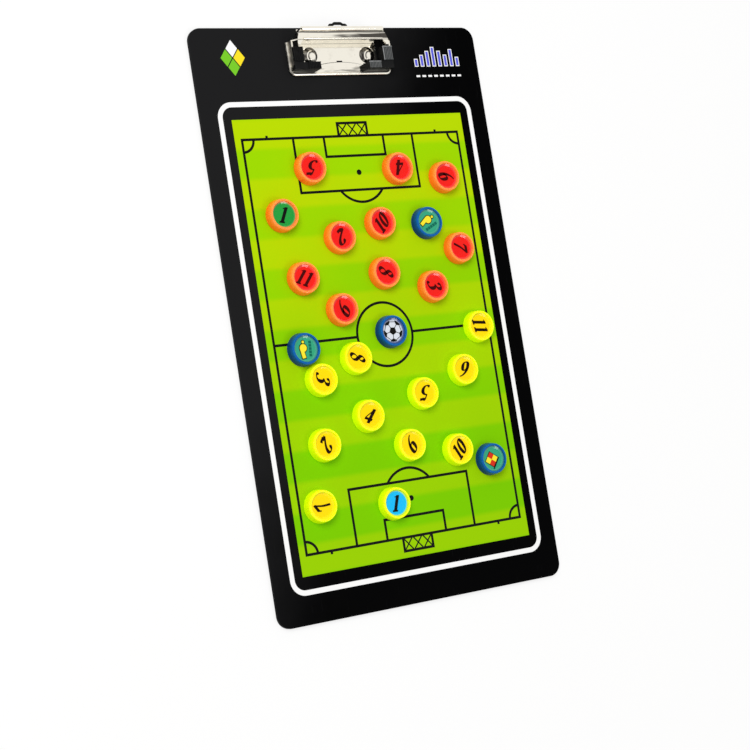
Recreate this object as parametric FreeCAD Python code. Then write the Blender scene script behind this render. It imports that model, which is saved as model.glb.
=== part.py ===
# A magnetic football tactics board, lying on its back.
# X runs across the board, Y up the board towards the clip, Z off its face.
# The origin is the middle of the rear face. Lengths are in millimetres.
import FreeCAD, Part
import math
import os

Vector = FreeCAD.Vector
X_AXIS = Vector(1, 0, 0)
Z_AXIS = Vector(0, 0, 1)

# Board slab
board_width = 200.0
board_height = 350.0
board_corner_radius = 8.0
board_edge_chamfer = 0.4
rear_panel_thickness = 1.5
front_panel_thickness = 1.5
board_thickness = rear_panel_thickness + front_panel_thickness
board_top = board_height / 2
steel_sheet_thickness = 0.5
steel_sheet_margin = 4.0
overrun = 1.0

# Printed field and its white border
field_width = 161.0
field_height = 267.5
field_below_board_top = 55.0
field_sheet_thickness = 0.3
field_middle_y = board_top - field_below_board_top - field_height / 2
border_line_width = 3.0
border_side_gap = 5.5
border_end_gap = 7.6
border_outer_radius = 9.5

# Pitch markings
line_width = 1.6
line_depth = 0.15
pitch_side_margin = 4.75
pitch_end_margin = 12.0
pitch_width = field_width - 2 * pitch_side_margin
pitch_height = field_height - 2 * pitch_end_margin
centre_circle_radius = 19.3
penalty_box_width = 83.7
penalty_box_depth = 33.2
goal_box_width = 41.6
goal_box_depth = 12.2
penalty_spot_distance = 22.5
penalty_spot_radius = 1.7
penalty_arc_radius = 18.2
corner_arc_radius = 7.5
goal_width = 20.3
goal_depth = 8.0
goal_net_crosses = 3
net_line_width = 0.85
tick_length = 2.0
tick_from_corner = 16.5

# Counters
counter_diameter = 20.0
counter_height = 6.0
counter_top_diameter = 18.8
counter_edge_height = 1.3
counter_rim_width = 1.0
label_diameter = 15.2
label_thickness = 0.3
label_depth = 0.6
label_clearance = 0.1
magnet_diameter = 16.0
magnet_thickness = 2.5
magnet_clearance = 0.05

# Middles of the counters, in counter diameters from the middle of the field
orange_place_shares = {
    1: (-2.915, 3.775), 2: (-1.10, 3.005), 3: (1.895, 1.29), 4: (1.31, 4.995),
    5: (-1.735, 5.13), 6: (2.95, 4.65), 7: (3.075, 2.405), 8: (0.25, 1.83),
    9: (-1.41, 0.85), 10: (0.375, 3.35), 11: (-2.545, 1.875),
}
yellow_place_shares = {
    1: (-0.68, -5.035), 2: (-2.705, -3.04), 3: (-2.48, -1.145), 4: (-1.09, -2.37),
    5: (0.92, -1.91), 6: (2.49, -1.355), 7: (-3.155, -4.77), 8: (-1.20, -0.63),
    9: (0.175, -3.395), 10: (1.84, -3.74), 11: (3.325, -0.08),
}
blue_place_shares = {
    "referee_counter_1": (2.045, 3.26),
    "referee_counter_2": (-2.90, -0.20),
    "ball_counter": (0.155, 0.05),
    "linesman_counter": (2.99, -4.18),
}

# Clip: place, base plate, ears and rivets
clip_middle_x = -2.0
sheet_metal = 1.0
base_half_width = 26.6
base_front_below_top = 22.6
base_rear_below_top = 1.4
base_arch_half_width = 16.6
base_arch_rise = 2.0
base_arch_lead = 1.0
base_notch_width = 4.0
base_notch_depth = 0.8
ear_radius = 2.7
rivet_half_spacing = 20.0
rivet_below_top = 17.5
rivet_head_radius = 5.0
rivet_head_height = 2.0
rivet_head_edge = 0.4
rivet_shank_radius = 1.6
rivet_tail_radius = 2.6
rivet_tail_height = 0.4
washer_radius = 4.0
washer_thickness = 0.4
rivet_clearance = 0.05

# Clip: hinge rod, springs and hanging loop
rod_radius = 1.25
rod_below_top = 6.5
rod_above_face = 5.3
rod_head_radius = 2.0
rod_head_thickness = 1.0
running_clearance = 0.06
side_clearance = 0.2
spring_wire_radius = 0.5
spring_mean_radius = 2.2
spring_pitch = 1.6
spring_turns = 6
spring_inner_end = 9.5
spring_leg_clearance = 0.02
spring_base_leg_reach = 3.6
spring_lever_leg_reach = 2.8
loop_wire_radius = 0.8
loop_half_width = 5.9
loop_shoulder_above_top = 0.1
loop_crown_above_top = 1.1
loop_crown_half_width = 2.2
loop_crown_foot_half_width = 3.5
loop_bend_radius = 1.0
loop_web_thickness = 0.8
loop_sleeve_radius = 2.1
loop_sleeve_length = 2.4

# Clip: lever
jaw_below_top = 29.0
jaw_gap = 0.3
rim_radius = 1.0
rim_half_width = 34.7
rim_corner_radius = 3.0
lip_sheet_rise = 0.3
wall_half_width = 34.6
wall_height = 6.4
wall_front_slope = 4.0
tab_half_width = 28.2
tab_above_face = 8.5
tab_edge_thickness = 1.5
tab_dish_depth = 0.7
tab_front_below_top = 9.8
tab_bead_radius = 1.5
tab_bead_below_top = 3.6
tab_bead_rise = 1.5
tab_ridge_radius = 0.6
apron_thickness = 0.7
apron_lead = 0.5
apron_floor_gap = 0.35
shoulder_half_width = 31.5
shoulder_front_below_top = 13.2
shoulder_width = 1.6
shoulder_bulge = 1.2
lever_eye_radius = 3.5
seam_gap = 0.4

# Clip: rubber grips
grip_inner_half_width = 28.0
grip_arm_inner_end = 17.0
grip_front_gap = 0.8
grip_arm_depth = 4.2
grip_rear_below_top = 11.6
grip_floor_gap = 0.2
grip_height = 8.0
grip_chamfer = 0.4

# Places that several pieces share
face_z = board_thickness
rod_y = board_top - rod_below_top
rod_z = face_z + rod_above_face
base_top_z = face_z + sheet_metal
jaw_y = board_top - jaw_below_top
rivet_y = board_top - rivet_below_top
rivet_hole_radius = rivet_shank_radius + rivet_clearance
tab_z = face_z + tab_above_face
strip_z = face_z + jaw_gap + lip_sheet_rise
wall_top_z = face_z + wall_height
apron_y = board_top - tab_front_below_top - apron_lead
wall_rear_y = apron_y + apron_thickness
grip_front_y = jaw_y + rim_radius + grip_front_gap
grip_arm_y = grip_front_y + grip_arm_depth


def slab(width, height, middle_y, low_z, thickness, radius):
    """A flat plate with rounded corners, centred on the Y axis."""
    plate = Part.makeBox(width, height, thickness, Vector(-width / 2, middle_y - height / 2, low_z))
    if radius == 0:
        return plate
    uprights = [edge for edge in plate.Edges if edge.BoundBox.ZLength > thickness / 2]
    return plate.makeFillet(radius, uprights)


def rod_along_x(radius, low_x, length, y, z):
    """A round bar that lies along X."""
    return Part.makeCylinder(radius, length, Vector(low_x, y, z), X_AXIS)


def upright(radius, length, x, y, low_z):
    """A round bar that stands along Z."""
    return Part.makeCylinder(radius, length, Vector(x, y, low_z), Z_AXIS)


def union(shapes):
    """One shape made of all the given ones, with no seams inside flat faces."""
    return shapes[0].multiFuse(shapes[1:]).removeSplitter()


def plate_from(outline, low_z, thickness):
    """A plate with the given closed outline of edges."""
    face = Part.Face(Part.Wire(Part.__sortEdges__(outline)))
    face.translate(Vector(0, 0, low_z))
    return face.extrude(Vector(0, 0, thickness))


def lines_through(points):
    """Straight edges from point to point."""
    return [Part.LineSegment(a, b).toShape() for a, b in zip(points, points[1:])]


def mirrored(shape):
    """The same shape on the other side of the board's middle."""
    return shape.mirror(Vector(0, 0, 0), X_AXIS)


def rivet_places():
    """X of the two rivets from the middle of the clip."""
    return (-rivet_half_spacing, rivet_half_spacing)


def rear_panel():
    """The back half of the slab, recessed for the steel sheet and the rivets' tails."""
    panel = slab(board_width, board_height, 0, 0, rear_panel_thickness, board_corner_radius)
    rim = [edge for edge in panel.Edges if edge.BoundBox.ZMax < rear_panel_thickness / 2]
    panel = panel.makeChamfer(board_edge_chamfer, rim)
    cuts = [steel_sheet()]
    well_depth = washer_thickness + rivet_tail_height
    for place in rivet_places():
        x = place + clip_middle_x
        cuts.append(upright(rivet_hole_radius, rear_panel_thickness + 2 * overrun, x, rivet_y, -overrun))
        cuts.append(upright(washer_radius + rivet_clearance, well_depth + overrun, x, rivet_y, -overrun))
    return panel.cut(cuts)


def steel_sheet():
    """The steel sheet behind the field, flush in the rear panel."""
    width = field_width + 2 * steel_sheet_margin
    height = field_height + 2 * steel_sheet_margin
    low_z = rear_panel_thickness - steel_sheet_thickness
    return slab(width, height, field_middle_y, low_z, steel_sheet_thickness, 0)


def field_block():
    """The whole space of the printed field."""
    low_z = face_z - field_sheet_thickness
    return slab(field_width, field_height, field_middle_y, low_z, field_sheet_thickness, 0)


def border_line():
    """The white line round the field, flush in the front panel."""
    low_z = face_z - field_sheet_thickness
    inner_width = field_width + 2 * border_side_gap
    inner_height = field_height + 2 * border_end_gap
    inner_radius = border_outer_radius - border_line_width
    outer_width = inner_width + 2 * border_line_width
    outer_height = inner_height + 2 * border_line_width
    depth = field_sheet_thickness
    cut_depth = depth + 2 * overrun
    outer = slab(outer_width, outer_height, field_middle_y, low_z, depth, border_outer_radius)
    inner = slab(inner_width, inner_height, field_middle_y, low_z - overrun, cut_depth, inner_radius)
    return outer.cut(inner)


def front_panel():
    """The front half of the slab, with pockets for the printed field and its border."""
    low_z = rear_panel_thickness
    panel = slab(board_width, board_height, 0, low_z, front_panel_thickness, board_corner_radius)
    rim = [edge for edge in panel.Edges if edge.BoundBox.ZMin > low_z + front_panel_thickness / 2]
    panel = panel.makeChamfer(board_edge_chamfer, rim)
    cuts = [field_block(), border_line()]
    for place in rivet_places():
        length = front_panel_thickness + 2 * overrun
        cuts.append(upright(rivet_hole_radius, length, place + clip_middle_x, rivet_y, low_z - overrun))
    return panel.cut(cuts)


def bar(x0, y0, x1, y1, width):
    """A straight marking between two points of the field, let into the field sheet."""
    along = Vector(x1 - x0, y1 - y0, 0)
    length = along.Length
    marking = Part.makeBox(length, width, line_depth, Vector(0, -width / 2, 0))
    marking.rotate(Vector(0, 0, 0), Z_AXIS, math.degrees(math.atan2(along.y, along.x)))
    marking.translate(Vector(x0, y0, face_z - line_depth))
    return marking


def ring(x, y, radius, width):
    """A round marking."""
    low_z = face_z - line_depth
    outer = upright(radius + width / 2, line_depth, x, y, low_z)
    inner = upright(radius - width / 2, line_depth + 2 * overrun, x, y, low_z - overrun)
    return outer.cut(inner)


def frame_of_bars(half_width, low_y, high_y):
    """A rectangle of markings whose corners are filled."""
    half = line_width / 2
    return [
        bar(-half_width - half, low_y, half_width + half, low_y, line_width),
        bar(-half_width - half, high_y, half_width + half, high_y, line_width),
        bar(-half_width, low_y, -half_width, high_y, line_width),
        bar(half_width, low_y, half_width, high_y, line_width),
    ]


def goal_end_markings():
    """The boxes, arcs, goal and ticks at the upper end, with the middle of the pitch at zero."""
    goal_y = pitch_height / 2
    box_y = goal_y - penalty_box_depth
    spot_y = goal_y - penalty_spot_distance
    low_z = face_z - line_depth
    span = 2 * penalty_arc_radius
    beyond_box = Part.makeBox(2 * span, span, line_depth, Vector(-span, box_y - span, low_z))
    corner_span = 2 * corner_arc_radius
    markings = frame_of_bars(penalty_box_width / 2, box_y, goal_y)
    markings += frame_of_bars(goal_box_width / 2, goal_y - goal_box_depth, goal_y)
    markings += frame_of_bars(goal_width / 2, goal_y, goal_y + goal_depth)
    markings.append(ring(0, spot_y, penalty_arc_radius, line_width).common(beyond_box))
    for side in (-1, 1):
        corner_x = side * pitch_width / 2
        inside_x = min(corner_x, corner_x - side * corner_span)
        inside_low = Vector(inside_x, goal_y - corner_span, low_z)
        inside = Part.makeBox(corner_span, corner_span, line_depth, inside_low)
        markings.append(ring(corner_x, goal_y, corner_arc_radius, line_width).common(inside))
        tick_x = corner_x - side * tick_from_corner
        markings.append(bar(tick_x, goal_y, tick_x, goal_y + tick_length, line_width))
    net_step = goal_width / goal_net_crosses
    for cross in range(goal_net_crosses):
        left = -goal_width / 2 + cross * net_step
        markings.append(bar(left, goal_y, left + net_step, goal_y + goal_depth, net_line_width))
        markings.append(bar(left, goal_y + goal_depth, left + net_step, goal_y, net_line_width))
    markings.append(upright(penalty_spot_radius, line_depth, 0, spot_y, low_z))
    return markings


def pitch_lines():
    """All the black markings of the pitch."""
    half_width = pitch_width / 2
    half_height = pitch_height / 2
    upper = goal_end_markings()
    markings = frame_of_bars(half_width, -half_height, half_height)
    for side in (-1, 1):
        markings.append(bar(side * half_width, 0, side * centre_circle_radius, 0, line_width))
    markings.append(ring(0, 0, centre_circle_radius, line_width))
    markings += upper
    for marking in upper:
        lower = marking.copy()
        lower.rotate(Vector(0, 0, 0), Z_AXIS, 180)
        markings.append(lower)
    lines = union(markings)
    lines.translate(Vector(0, field_middle_y, 0))
    return lines


def counter():
    """One counter on the face at the origin: cap, label disc and magnet as separate solids."""
    radius = counter_diameter / 2
    top_radius = counter_top_diameter / 2
    shoulder_z = counter_height - counter_edge_height
    rim_radius_outer = label_diameter / 2 + label_clearance + counter_rim_width
    recess_radius = label_diameter / 2 + label_clearance
    floor_z = counter_height - label_depth
    well_radius = magnet_diameter / 2 + magnet_clearance
    shoulder = Vector(top_radius, 0, shoulder_z)
    crown = Vector(rim_radius_outer, 0, counter_height)
    bulge = (shoulder + crown) / 2 + Vector(1, 0, 1).normalize() * (counter_edge_height / 4)
    side = lines_through([Vector(well_radius, 0, 0), Vector(radius, 0, 0), shoulder])
    edge = [Part.Arc(shoulder, bulge, crown).toShape()]
    inside = lines_through([
        crown,
        Vector(recess_radius, 0, counter_height),
        Vector(recess_radius, 0, floor_z),
        Vector(0, 0, floor_z),
        Vector(0, 0, magnet_thickness),
        Vector(well_radius, 0, magnet_thickness),
        Vector(well_radius, 0, 0),
    ])
    cap = Part.Face(Part.Wire(side + edge + inside)).revolve(Vector(0, 0, 0), Z_AXIS, 360)
    label = upright(label_diameter / 2, label_thickness, 0, 0, floor_z)
    magnet = upright(magnet_diameter / 2, magnet_thickness, 0, 0, 0)
    return Part.makeCompound([cap, label, magnet])


def counters():
    """Every counter at its place on the field, by name."""
    places = dict(blue_place_shares)
    for number, place in orange_place_shares.items():
        places[f"orange_counter_{number:02d}"] = place
    for number, place in yellow_place_shares.items():
        places[f"yellow_counter_{number:02d}"] = place
    pieces = {}
    for name, (share_x, share_y) in places.items():
        piece = counter()
        y = field_middle_y + share_y * counter_diameter
        piece.translate(Vector(share_x * counter_diameter, y, face_z))
        pieces[name] = piece
    return pieces


def ear_profile(radius, foot_z):
    """A round-topped upright plate round the hinge rod, seen along X, at x = 0."""
    front = Vector(0, rod_y - radius, rod_z)
    rear = Vector(0, rod_y + radius, rod_z)
    top = Part.Arc(front, Vector(0, rod_y, rod_z + radius), rear)
    foot = lines_through([
        rear,
        Vector(0, rear.y, foot_z),
        Vector(0, front.y, foot_z),
        front,
    ])
    return Part.Face(Part.Wire([top.toShape()] + foot))


def base_front_arch():
    """The arched middle of the base plate's front edge: its two ends and its crown."""
    front_y = board_top - base_front_below_top
    foot_y = front_y - base_arch_lead
    left = Vector(-base_arch_half_width, foot_y, 0)
    crown = Vector(0, foot_y + base_arch_rise, 0)
    right = Vector(base_arch_half_width, foot_y, 0)
    return left, crown, right


def clip_base():
    """The riveted base plate with its arched front edge and two ears for the rod."""
    front_y = board_top - base_front_below_top
    rear_y = board_top - base_rear_below_top
    left, crown, right = base_front_arch()
    outline = [Part.Arc(left, crown, right).toShape()]
    outline += lines_through([
        right,
        Vector(base_arch_half_width, front_y, 0),
        Vector(base_half_width, front_y, 0),
        Vector(base_half_width, rear_y, 0),
        Vector(-base_half_width, rear_y, 0),
        Vector(-base_half_width, front_y, 0),
        Vector(-base_arch_half_width, front_y, 0),
        left,
    ])
    plate = plate_from(outline, face_z, sheet_metal)
    ear = ear_profile(ear_radius, face_z)
    ear.translate(Vector(base_half_width - sheet_metal, 0, 0))
    ear = ear.extrude(Vector(sheet_metal, 0, 0))
    base = union([plate, ear, mirrored(ear)])
    bore = rod_radius + running_clearance
    bore_half = base_half_width + overrun
    cut_depth = sheet_metal + 2 * overrun
    cuts = [rod_along_x(bore, -bore_half, 2 * bore_half, rod_y, rod_z)]
    for x in rivet_places():
        cuts.append(upright(rivet_hole_radius, cut_depth, x, rivet_y, face_z - overrun))
    notch_low = Vector(-base_notch_width / 2, crown.y - overrun, face_z - overrun)
    cuts.append(Part.makeBox(base_notch_width, overrun + base_notch_depth, cut_depth, notch_low))
    return base.cut(cuts)


def rivet(x):
    """One rivet: domed head, shank through the board, and tail at the back."""
    head_z = base_top_z + rivet_head_edge
    top_z = base_top_z + rivet_head_height
    rise = rivet_head_height - rivet_head_edge
    sphere_radius = (rivet_head_radius ** 2 + rise ** 2) / (2 * rise)
    half_angle = math.asin(rivet_head_radius / sphere_radius) / 2
    middle_z = top_z - sphere_radius * (1 - math.cos(half_angle))
    middle = Vector(sphere_radius * math.sin(half_angle), 0, middle_z)
    crown = Vector(0, 0, top_z)
    edge = Vector(rivet_head_radius, 0, head_z)
    outline = [Part.Arc(crown, middle, edge).toShape()]
    outline += lines_through([
        edge,
        Vector(rivet_head_radius, 0, base_top_z),
        Vector(rivet_shank_radius, 0, base_top_z),
        Vector(rivet_shank_radius, 0, rivet_tail_height),
        Vector(rivet_tail_radius, 0, rivet_tail_height),
        Vector(rivet_tail_radius, 0, 0),
        Vector(0, 0, 0),
        crown,
    ])
    body = Part.Face(Part.Wire(outline)).revolve(Vector(0, 0, 0), Z_AXIS, 360)
    body.translate(Vector(x, rivet_y, 0))
    return body


def rivet_washer(x):
    """A washer under one rivet's tail, sunk in the rear panel."""
    low_z = rivet_tail_height
    washer = upright(washer_radius, washer_thickness, x, rivet_y, low_z)
    hole = upright(rivet_hole_radius, washer_thickness + 2 * overrun, x, rivet_y, low_z - overrun)
    return washer.cut(hole)


def hinge_rod():
    """The rod through the ears and the lever, with a head at each end."""
    half_length = tab_half_width + side_clearance
    shaft = rod_along_x(rod_radius, -half_length, 2 * half_length, rod_y, rod_z)
    head = rod_along_x(rod_head_radius, half_length, rod_head_thickness, rod_y, rod_z)
    return union([shaft, head, mirrored(head)])


def helix_point(angle):
    """Point and direction of the spring's centre line at an angle turned from +Y towards +Z."""
    lead = spring_pitch / (2 * math.pi)
    across = spring_mean_radius * math.cos(angle)
    up = spring_mean_radius * math.sin(angle)
    return Vector(lead * angle, across, up), Vector(lead, -up, across).normalize()


def arc_from(start, heading, reach, end):
    """The arc that leaves start along heading and reaches end, given its tangent length."""
    corner = start + heading * reach
    half_chord = (end - start).Length / 2
    weight = half_chord / reach
    middle = (start + corner * (2 * weight) + end) / (2 * (1 + weight))
    return Part.Arc(start, middle, end).toShape()


def biarc(start, heading, end, end_heading):
    """Two arcs that join two points with the given directions."""
    span = end - start
    both = heading + end_heading
    square = both.dot(both) - 4
    linear = -2 * span.dot(both)
    reach = (-linear - math.sqrt(linear ** 2 - 4 * square * span.dot(span))) / (2 * square)
    middle = (start + heading * reach + end - end_heading * reach) / 2
    return [arc_from(start, heading, reach, middle), arc_from(end, end_heading * -1, reach, middle)]


def tangent_angle(reach_y, reach_z):
    """Angle on the coil below a point from which a straight leg runs to that point."""
    distance = math.hypot(reach_y, reach_z)
    return math.atan2(reach_z, reach_y) - math.acos(spring_mean_radius / distance)


def least_gap(points):
    """The least gap between two stretches of the coil that are over half a turn apart."""
    apart = len(points) // (2 * spring_turns)
    gaps = [(a - b).Length for i, a in enumerate(points) for b in points[i + apart:]]
    return min(gaps) - 2 * spring_wire_radius


def spring_right():
    """A torsion spring on the rod: one leg on the base plate, the other under the press tab."""
    lift = spring_wire_radius + spring_leg_clearance
    base_reach_z = rod_z - base_top_z - lift
    lever_reach_z = tab_z - rod_z - lift
    # The base leg comes up from below, so its tangent is the mirror of one to a point above.
    first = -tangent_angle(spring_base_leg_reach, base_reach_z)
    last = tangent_angle(spring_lever_leg_reach, lever_reach_z) + 2 * math.pi * spring_turns
    base_leg = math.sqrt(spring_base_leg_reach ** 2 + base_reach_z ** 2 - spring_mean_radius ** 2)
    lever_leg = math.sqrt(spring_lever_leg_reach ** 2 + lever_reach_z ** 2 - spring_mean_radius ** 2)
    quarters = 4 * spring_turns
    angles = [first + (last - first) * step / quarters for step in range(quarters + 1)]
    stations = [helix_point(angle) for angle in angles]
    start, heading = stations[0]
    end, end_heading = stations[-1]
    tip = start - heading * base_leg
    far_tip = end + end_heading * lever_leg
    edges = lines_through([tip, start])
    for (a, a_heading), (b, b_heading) in zip(stations, stations[1:]):
        edges += biarc(a, a_heading, b, b_heading)
    edges += lines_through([end, far_tip])
    profile = Part.Wire([Part.Circle(tip, heading, spring_wire_radius).toShape()])
    pipe = Part.BRepOffsetAPI.MakePipeShell(Part.Wire(edges))
    pipe.add(profile)
    pipe.build()
    pipe.makeSolid()
    spring = pipe.shape()
    samples = 16 * quarters
    sample_angles = [first + (last - first) * step / samples for step in range(samples + 1)]
    gap = least_gap([helix_point(angle)[0] for angle in sample_angles])
    print(f"spring: least gap between turns {gap:.2f} mm")
    # The lever's leg is at the inner end, so the coil is turned to run outwards from it.
    spring = spring.mirror(Vector(0, 0, 0), X_AXIS)
    spring.translate(Vector(spring_inner_end - spring.BoundBox.XMin, rod_y, rod_z))
    return spring


def rounded_path(points, radius):
    """Straight runs through the points, with an arc of the given radius at each corner."""
    edges = []
    last = points[0]
    for before, corner, after in zip(points, points[1:], points[2:]):
        back = (before - corner).normalize()
        ahead = (after - corner).normalize()
        half_turn = (math.pi - back.getAngle(ahead)) / 2
        reach = radius * math.tan(half_turn)
        start = corner + back * reach
        end = corner + ahead * reach
        inward = (back + ahead).normalize()
        middle = corner + inward * (radius / math.cos(half_turn) - radius)
        edges += lines_through([last, start])
        edges.append(Part.Arc(start, middle, end).toShape())
        last = end
    edges += lines_through([last, points[-1]])
    return Part.Wire(edges)


def tube_along(path, radius):
    """A round bar that follows a path."""
    edge = path.Edges[0]
    start = edge.valueAt(edge.FirstParameter)
    heading = edge.tangentAt(edge.FirstParameter)
    pipe = Part.BRepOffsetAPI.MakePipeShell(path)
    pipe.add(Part.Wire([Part.Circle(start, heading, radius).toShape()]))
    pipe.build()
    pipe.makeSolid()
    return pipe.shape()


def hanging_loop():
    """A wire loop with a raised crown and a web in it, hung on the rod by two sleeves."""
    shoulder_y = board_top + loop_shoulder_above_top
    crown_y = board_top + loop_crown_above_top
    path = rounded_path([
        Vector(-loop_half_width, rod_y, rod_z),
        Vector(-loop_half_width, shoulder_y, rod_z),
        Vector(-loop_crown_foot_half_width, shoulder_y, rod_z),
        Vector(-loop_crown_half_width, crown_y, rod_z),
        Vector(loop_crown_half_width, crown_y, rod_z),
        Vector(loop_crown_foot_half_width, shoulder_y, rod_z),
        Vector(loop_half_width, shoulder_y, rod_z),
        Vector(loop_half_width, rod_y, rod_z),
    ], loop_bend_radius)
    wire = tube_along(path, loop_wire_radius)
    web = plate_from(lines_through([
        Vector(-loop_crown_foot_half_width, shoulder_y, 0),
        Vector(loop_crown_foot_half_width, shoulder_y, 0),
        Vector(loop_crown_half_width, crown_y, 0),
        Vector(-loop_crown_half_width, crown_y, 0),
        Vector(-loop_crown_foot_half_width, shoulder_y, 0),
    ]), rod_z - loop_web_thickness / 2, loop_web_thickness)
    sleeve_x = loop_half_width - loop_sleeve_length / 2
    sleeve = rod_along_x(loop_sleeve_radius, sleeve_x, loop_sleeve_length, rod_y, rod_z)
    bore_half = loop_half_width + loop_sleeve_length
    bore = rod_along_x(rod_radius + running_clearance, -bore_half, 2 * bore_half, rod_y, rod_z)
    return union([wire, web, sleeve, mirrored(sleeve)]).cut(bore)


def lever_lip():
    """The low strip at the front of the jaw, behind the rolled rim, with pockets for the grips."""
    left, crown, right = (corner - Vector(0, seam_gap, 0) for corner in base_front_arch())
    outline = [Part.Arc(left, crown, right).toShape()]
    outline += lines_through([
        right,
        Vector(rim_half_width, right.y, 0),
        Vector(rim_half_width, jaw_y + rim_corner_radius, 0),
        Vector(rim_half_width - rim_corner_radius, jaw_y, 0),
        Vector(-rim_half_width + rim_corner_radius, jaw_y, 0),
        Vector(-rim_half_width, jaw_y + rim_corner_radius, 0),
        Vector(-rim_half_width, left.y, 0),
        left,
    ])
    strip = plate_from(outline, strip_z, sheet_metal)
    pocket_low = Vector(grip_arm_inner_end, grip_front_y, strip_z - overrun)
    pocket_width = wall_half_width - grip_arm_inner_end
    pocket_length = board_top - grip_front_y
    pocket = Part.makeBox(pocket_width, pocket_length, sheet_metal + 2 * overrun, pocket_low)
    return strip.cut([pocket, mirrored(pocket)])


def lever_rim():
    """The rolled rim round the front and sides of the jaw."""
    rim_z = face_z + jaw_gap + rim_radius
    path = rounded_path([
        Vector(-rim_half_width, wall_rear_y, rim_z),
        Vector(-rim_half_width, jaw_y, rim_z),
        Vector(rim_half_width, jaw_y, rim_z),
        Vector(rim_half_width, wall_rear_y, rim_z),
    ], rim_corner_radius)
    return tube_along(path, rim_radius)


def lever_wall():
    """The right side wall, straight from the jaw to the apron."""
    inner_x = wall_half_width - sheet_metal
    low_z = face_z + jaw_gap + rim_radius / 2
    front_y = jaw_y + rim_radius
    side = lines_through([
        Vector(inner_x, front_y, low_z),
        Vector(inner_x, wall_rear_y, low_z),
        Vector(inner_x, wall_rear_y, wall_top_z),
        Vector(inner_x, front_y + wall_front_slope, wall_top_z),
        Vector(inner_x, front_y, strip_z + sheet_metal),
        Vector(inner_x, front_y, low_z),
    ])
    return Part.Face(Part.Wire(side)).extrude(Vector(sheet_metal, 0, 0))


def lever_lug():
    """The right lug under the press tab, with a round end about the rod."""
    inner_x = tab_half_width - sheet_metal
    low_z = rod_z - lever_eye_radius
    top_z = tab_z + sheet_metal / 2
    eye_low = Vector(inner_x, rod_y, low_z)
    eye_rear = Vector(inner_x, rod_y + lever_eye_radius, rod_z)
    eye_middle = Vector(inner_x, rod_y, rod_z) + Vector(0, 1, -1).normalize() * lever_eye_radius
    side = [Part.Arc(eye_low, eye_middle, eye_rear).toShape()]
    side += lines_through([
        eye_rear,
        Vector(inner_x, eye_rear.y, top_z),
        Vector(inner_x, apron_y, top_z),
        Vector(inner_x, apron_y, low_z),
        eye_low,
    ])
    return Part.Face(Part.Wire(side)).extrude(Vector(sheet_metal, 0, 0))


def tab_shoulder():
    """The right end of the tab, which curves out and forward over the apron."""
    front_y = board_top - tab_front_below_top
    bead_y = board_top - tab_bead_below_top
    tip_y = board_top - shoulder_front_below_top
    root = Vector(tab_half_width - shoulder_width, front_y, 0)
    corner = Vector(tab_half_width, bead_y, 0)
    tip = Vector(shoulder_half_width, tip_y, 0)
    tip_inner = Vector(shoulder_half_width - shoulder_width, tip_y, 0)
    outwards = (corner - tip).cross(Z_AXIS).normalize()
    outer_middle = (corner + tip) / 2 + outwards * shoulder_bulge
    inner_middle = (root + tip_inner) / 2 + outwards * (shoulder_bulge / 2)
    outline = [Part.Arc(corner, outer_middle, tip).toShape()]
    outline += lines_through([tip, tip_inner])
    outline.append(Part.Arc(tip_inner, inner_middle, root).toShape())
    outline += lines_through([root, Vector(root.x, bead_y, 0), corner])
    return plate_from(outline, tab_z, sheet_metal)


def press_tab():
    """The press tab: a dished plate between a front ridge and a rolled rear edge, with two shoulders."""
    front_y = board_top - tab_front_below_top
    bead_y = board_top - tab_bead_below_top
    edge_z = tab_z + tab_edge_thickness
    half_width = tab_half_width - shoulder_width / 2
    front = Vector(-half_width, front_y, edge_z)
    rear = Vector(-half_width, bead_y, edge_z)
    dish = (front + rear) / 2 - Vector(0, 0, tab_dish_depth)
    section = [Part.Arc(front, dish, rear).toShape()]
    section += lines_through([
        rear,
        Vector(-half_width, bead_y, tab_z),
        Vector(-half_width, front_y, tab_z),
        front,
    ])
    plate = Part.Face(Part.Wire(section)).extrude(Vector(2 * half_width, 0, 0))
    width = 2 * tab_half_width
    bead = rod_along_x(tab_bead_radius, -tab_half_width, width, bead_y, tab_z + tab_bead_rise)
    ridge_y = front_y + tab_ridge_radius / 2
    ridge_z = edge_z - tab_ridge_radius / 2
    ridge = rod_along_x(tab_ridge_radius, -half_width, 2 * half_width, ridge_y, ridge_z)
    shoulder = tab_shoulder()
    return union([plate, bead, ridge, shoulder, mirrored(shoulder)])


def tab_apron():
    """The skirt that hangs from the press tab's front edge and joins the side walls."""
    top_z = tab_z + tab_edge_thickness - tab_ridge_radius / 2
    low_z = base_top_z + apron_floor_gap
    outline = lines_through([
        Vector(-wall_half_width, apron_y, low_z),
        Vector(wall_half_width, apron_y, low_z),
        Vector(wall_half_width, apron_y, wall_top_z),
        Vector(shoulder_half_width, apron_y, top_z),
        Vector(-shoulder_half_width, apron_y, top_z),
        Vector(-wall_half_width, apron_y, wall_top_z),
        Vector(-wall_half_width, apron_y, low_z),
    ])
    return Part.Face(Part.Wire(outline)).extrude(Vector(0, apron_thickness, 0))


def clip_lever():
    """The jaw frame: lip, rolled rim, side walls, press tab, its apron and two lugs in one piece."""
    wall = lever_wall()
    lug = lever_lug()
    lever = union([
        lever_lip(), lever_rim(), wall, mirrored(wall), press_tab(), tab_apron(), lug, mirrored(lug),
    ])
    bore_half = tab_half_width + overrun
    return lever.cut(rod_along_x(rod_radius + running_clearance, -bore_half, 2 * bore_half, rod_y, rod_z))


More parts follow.
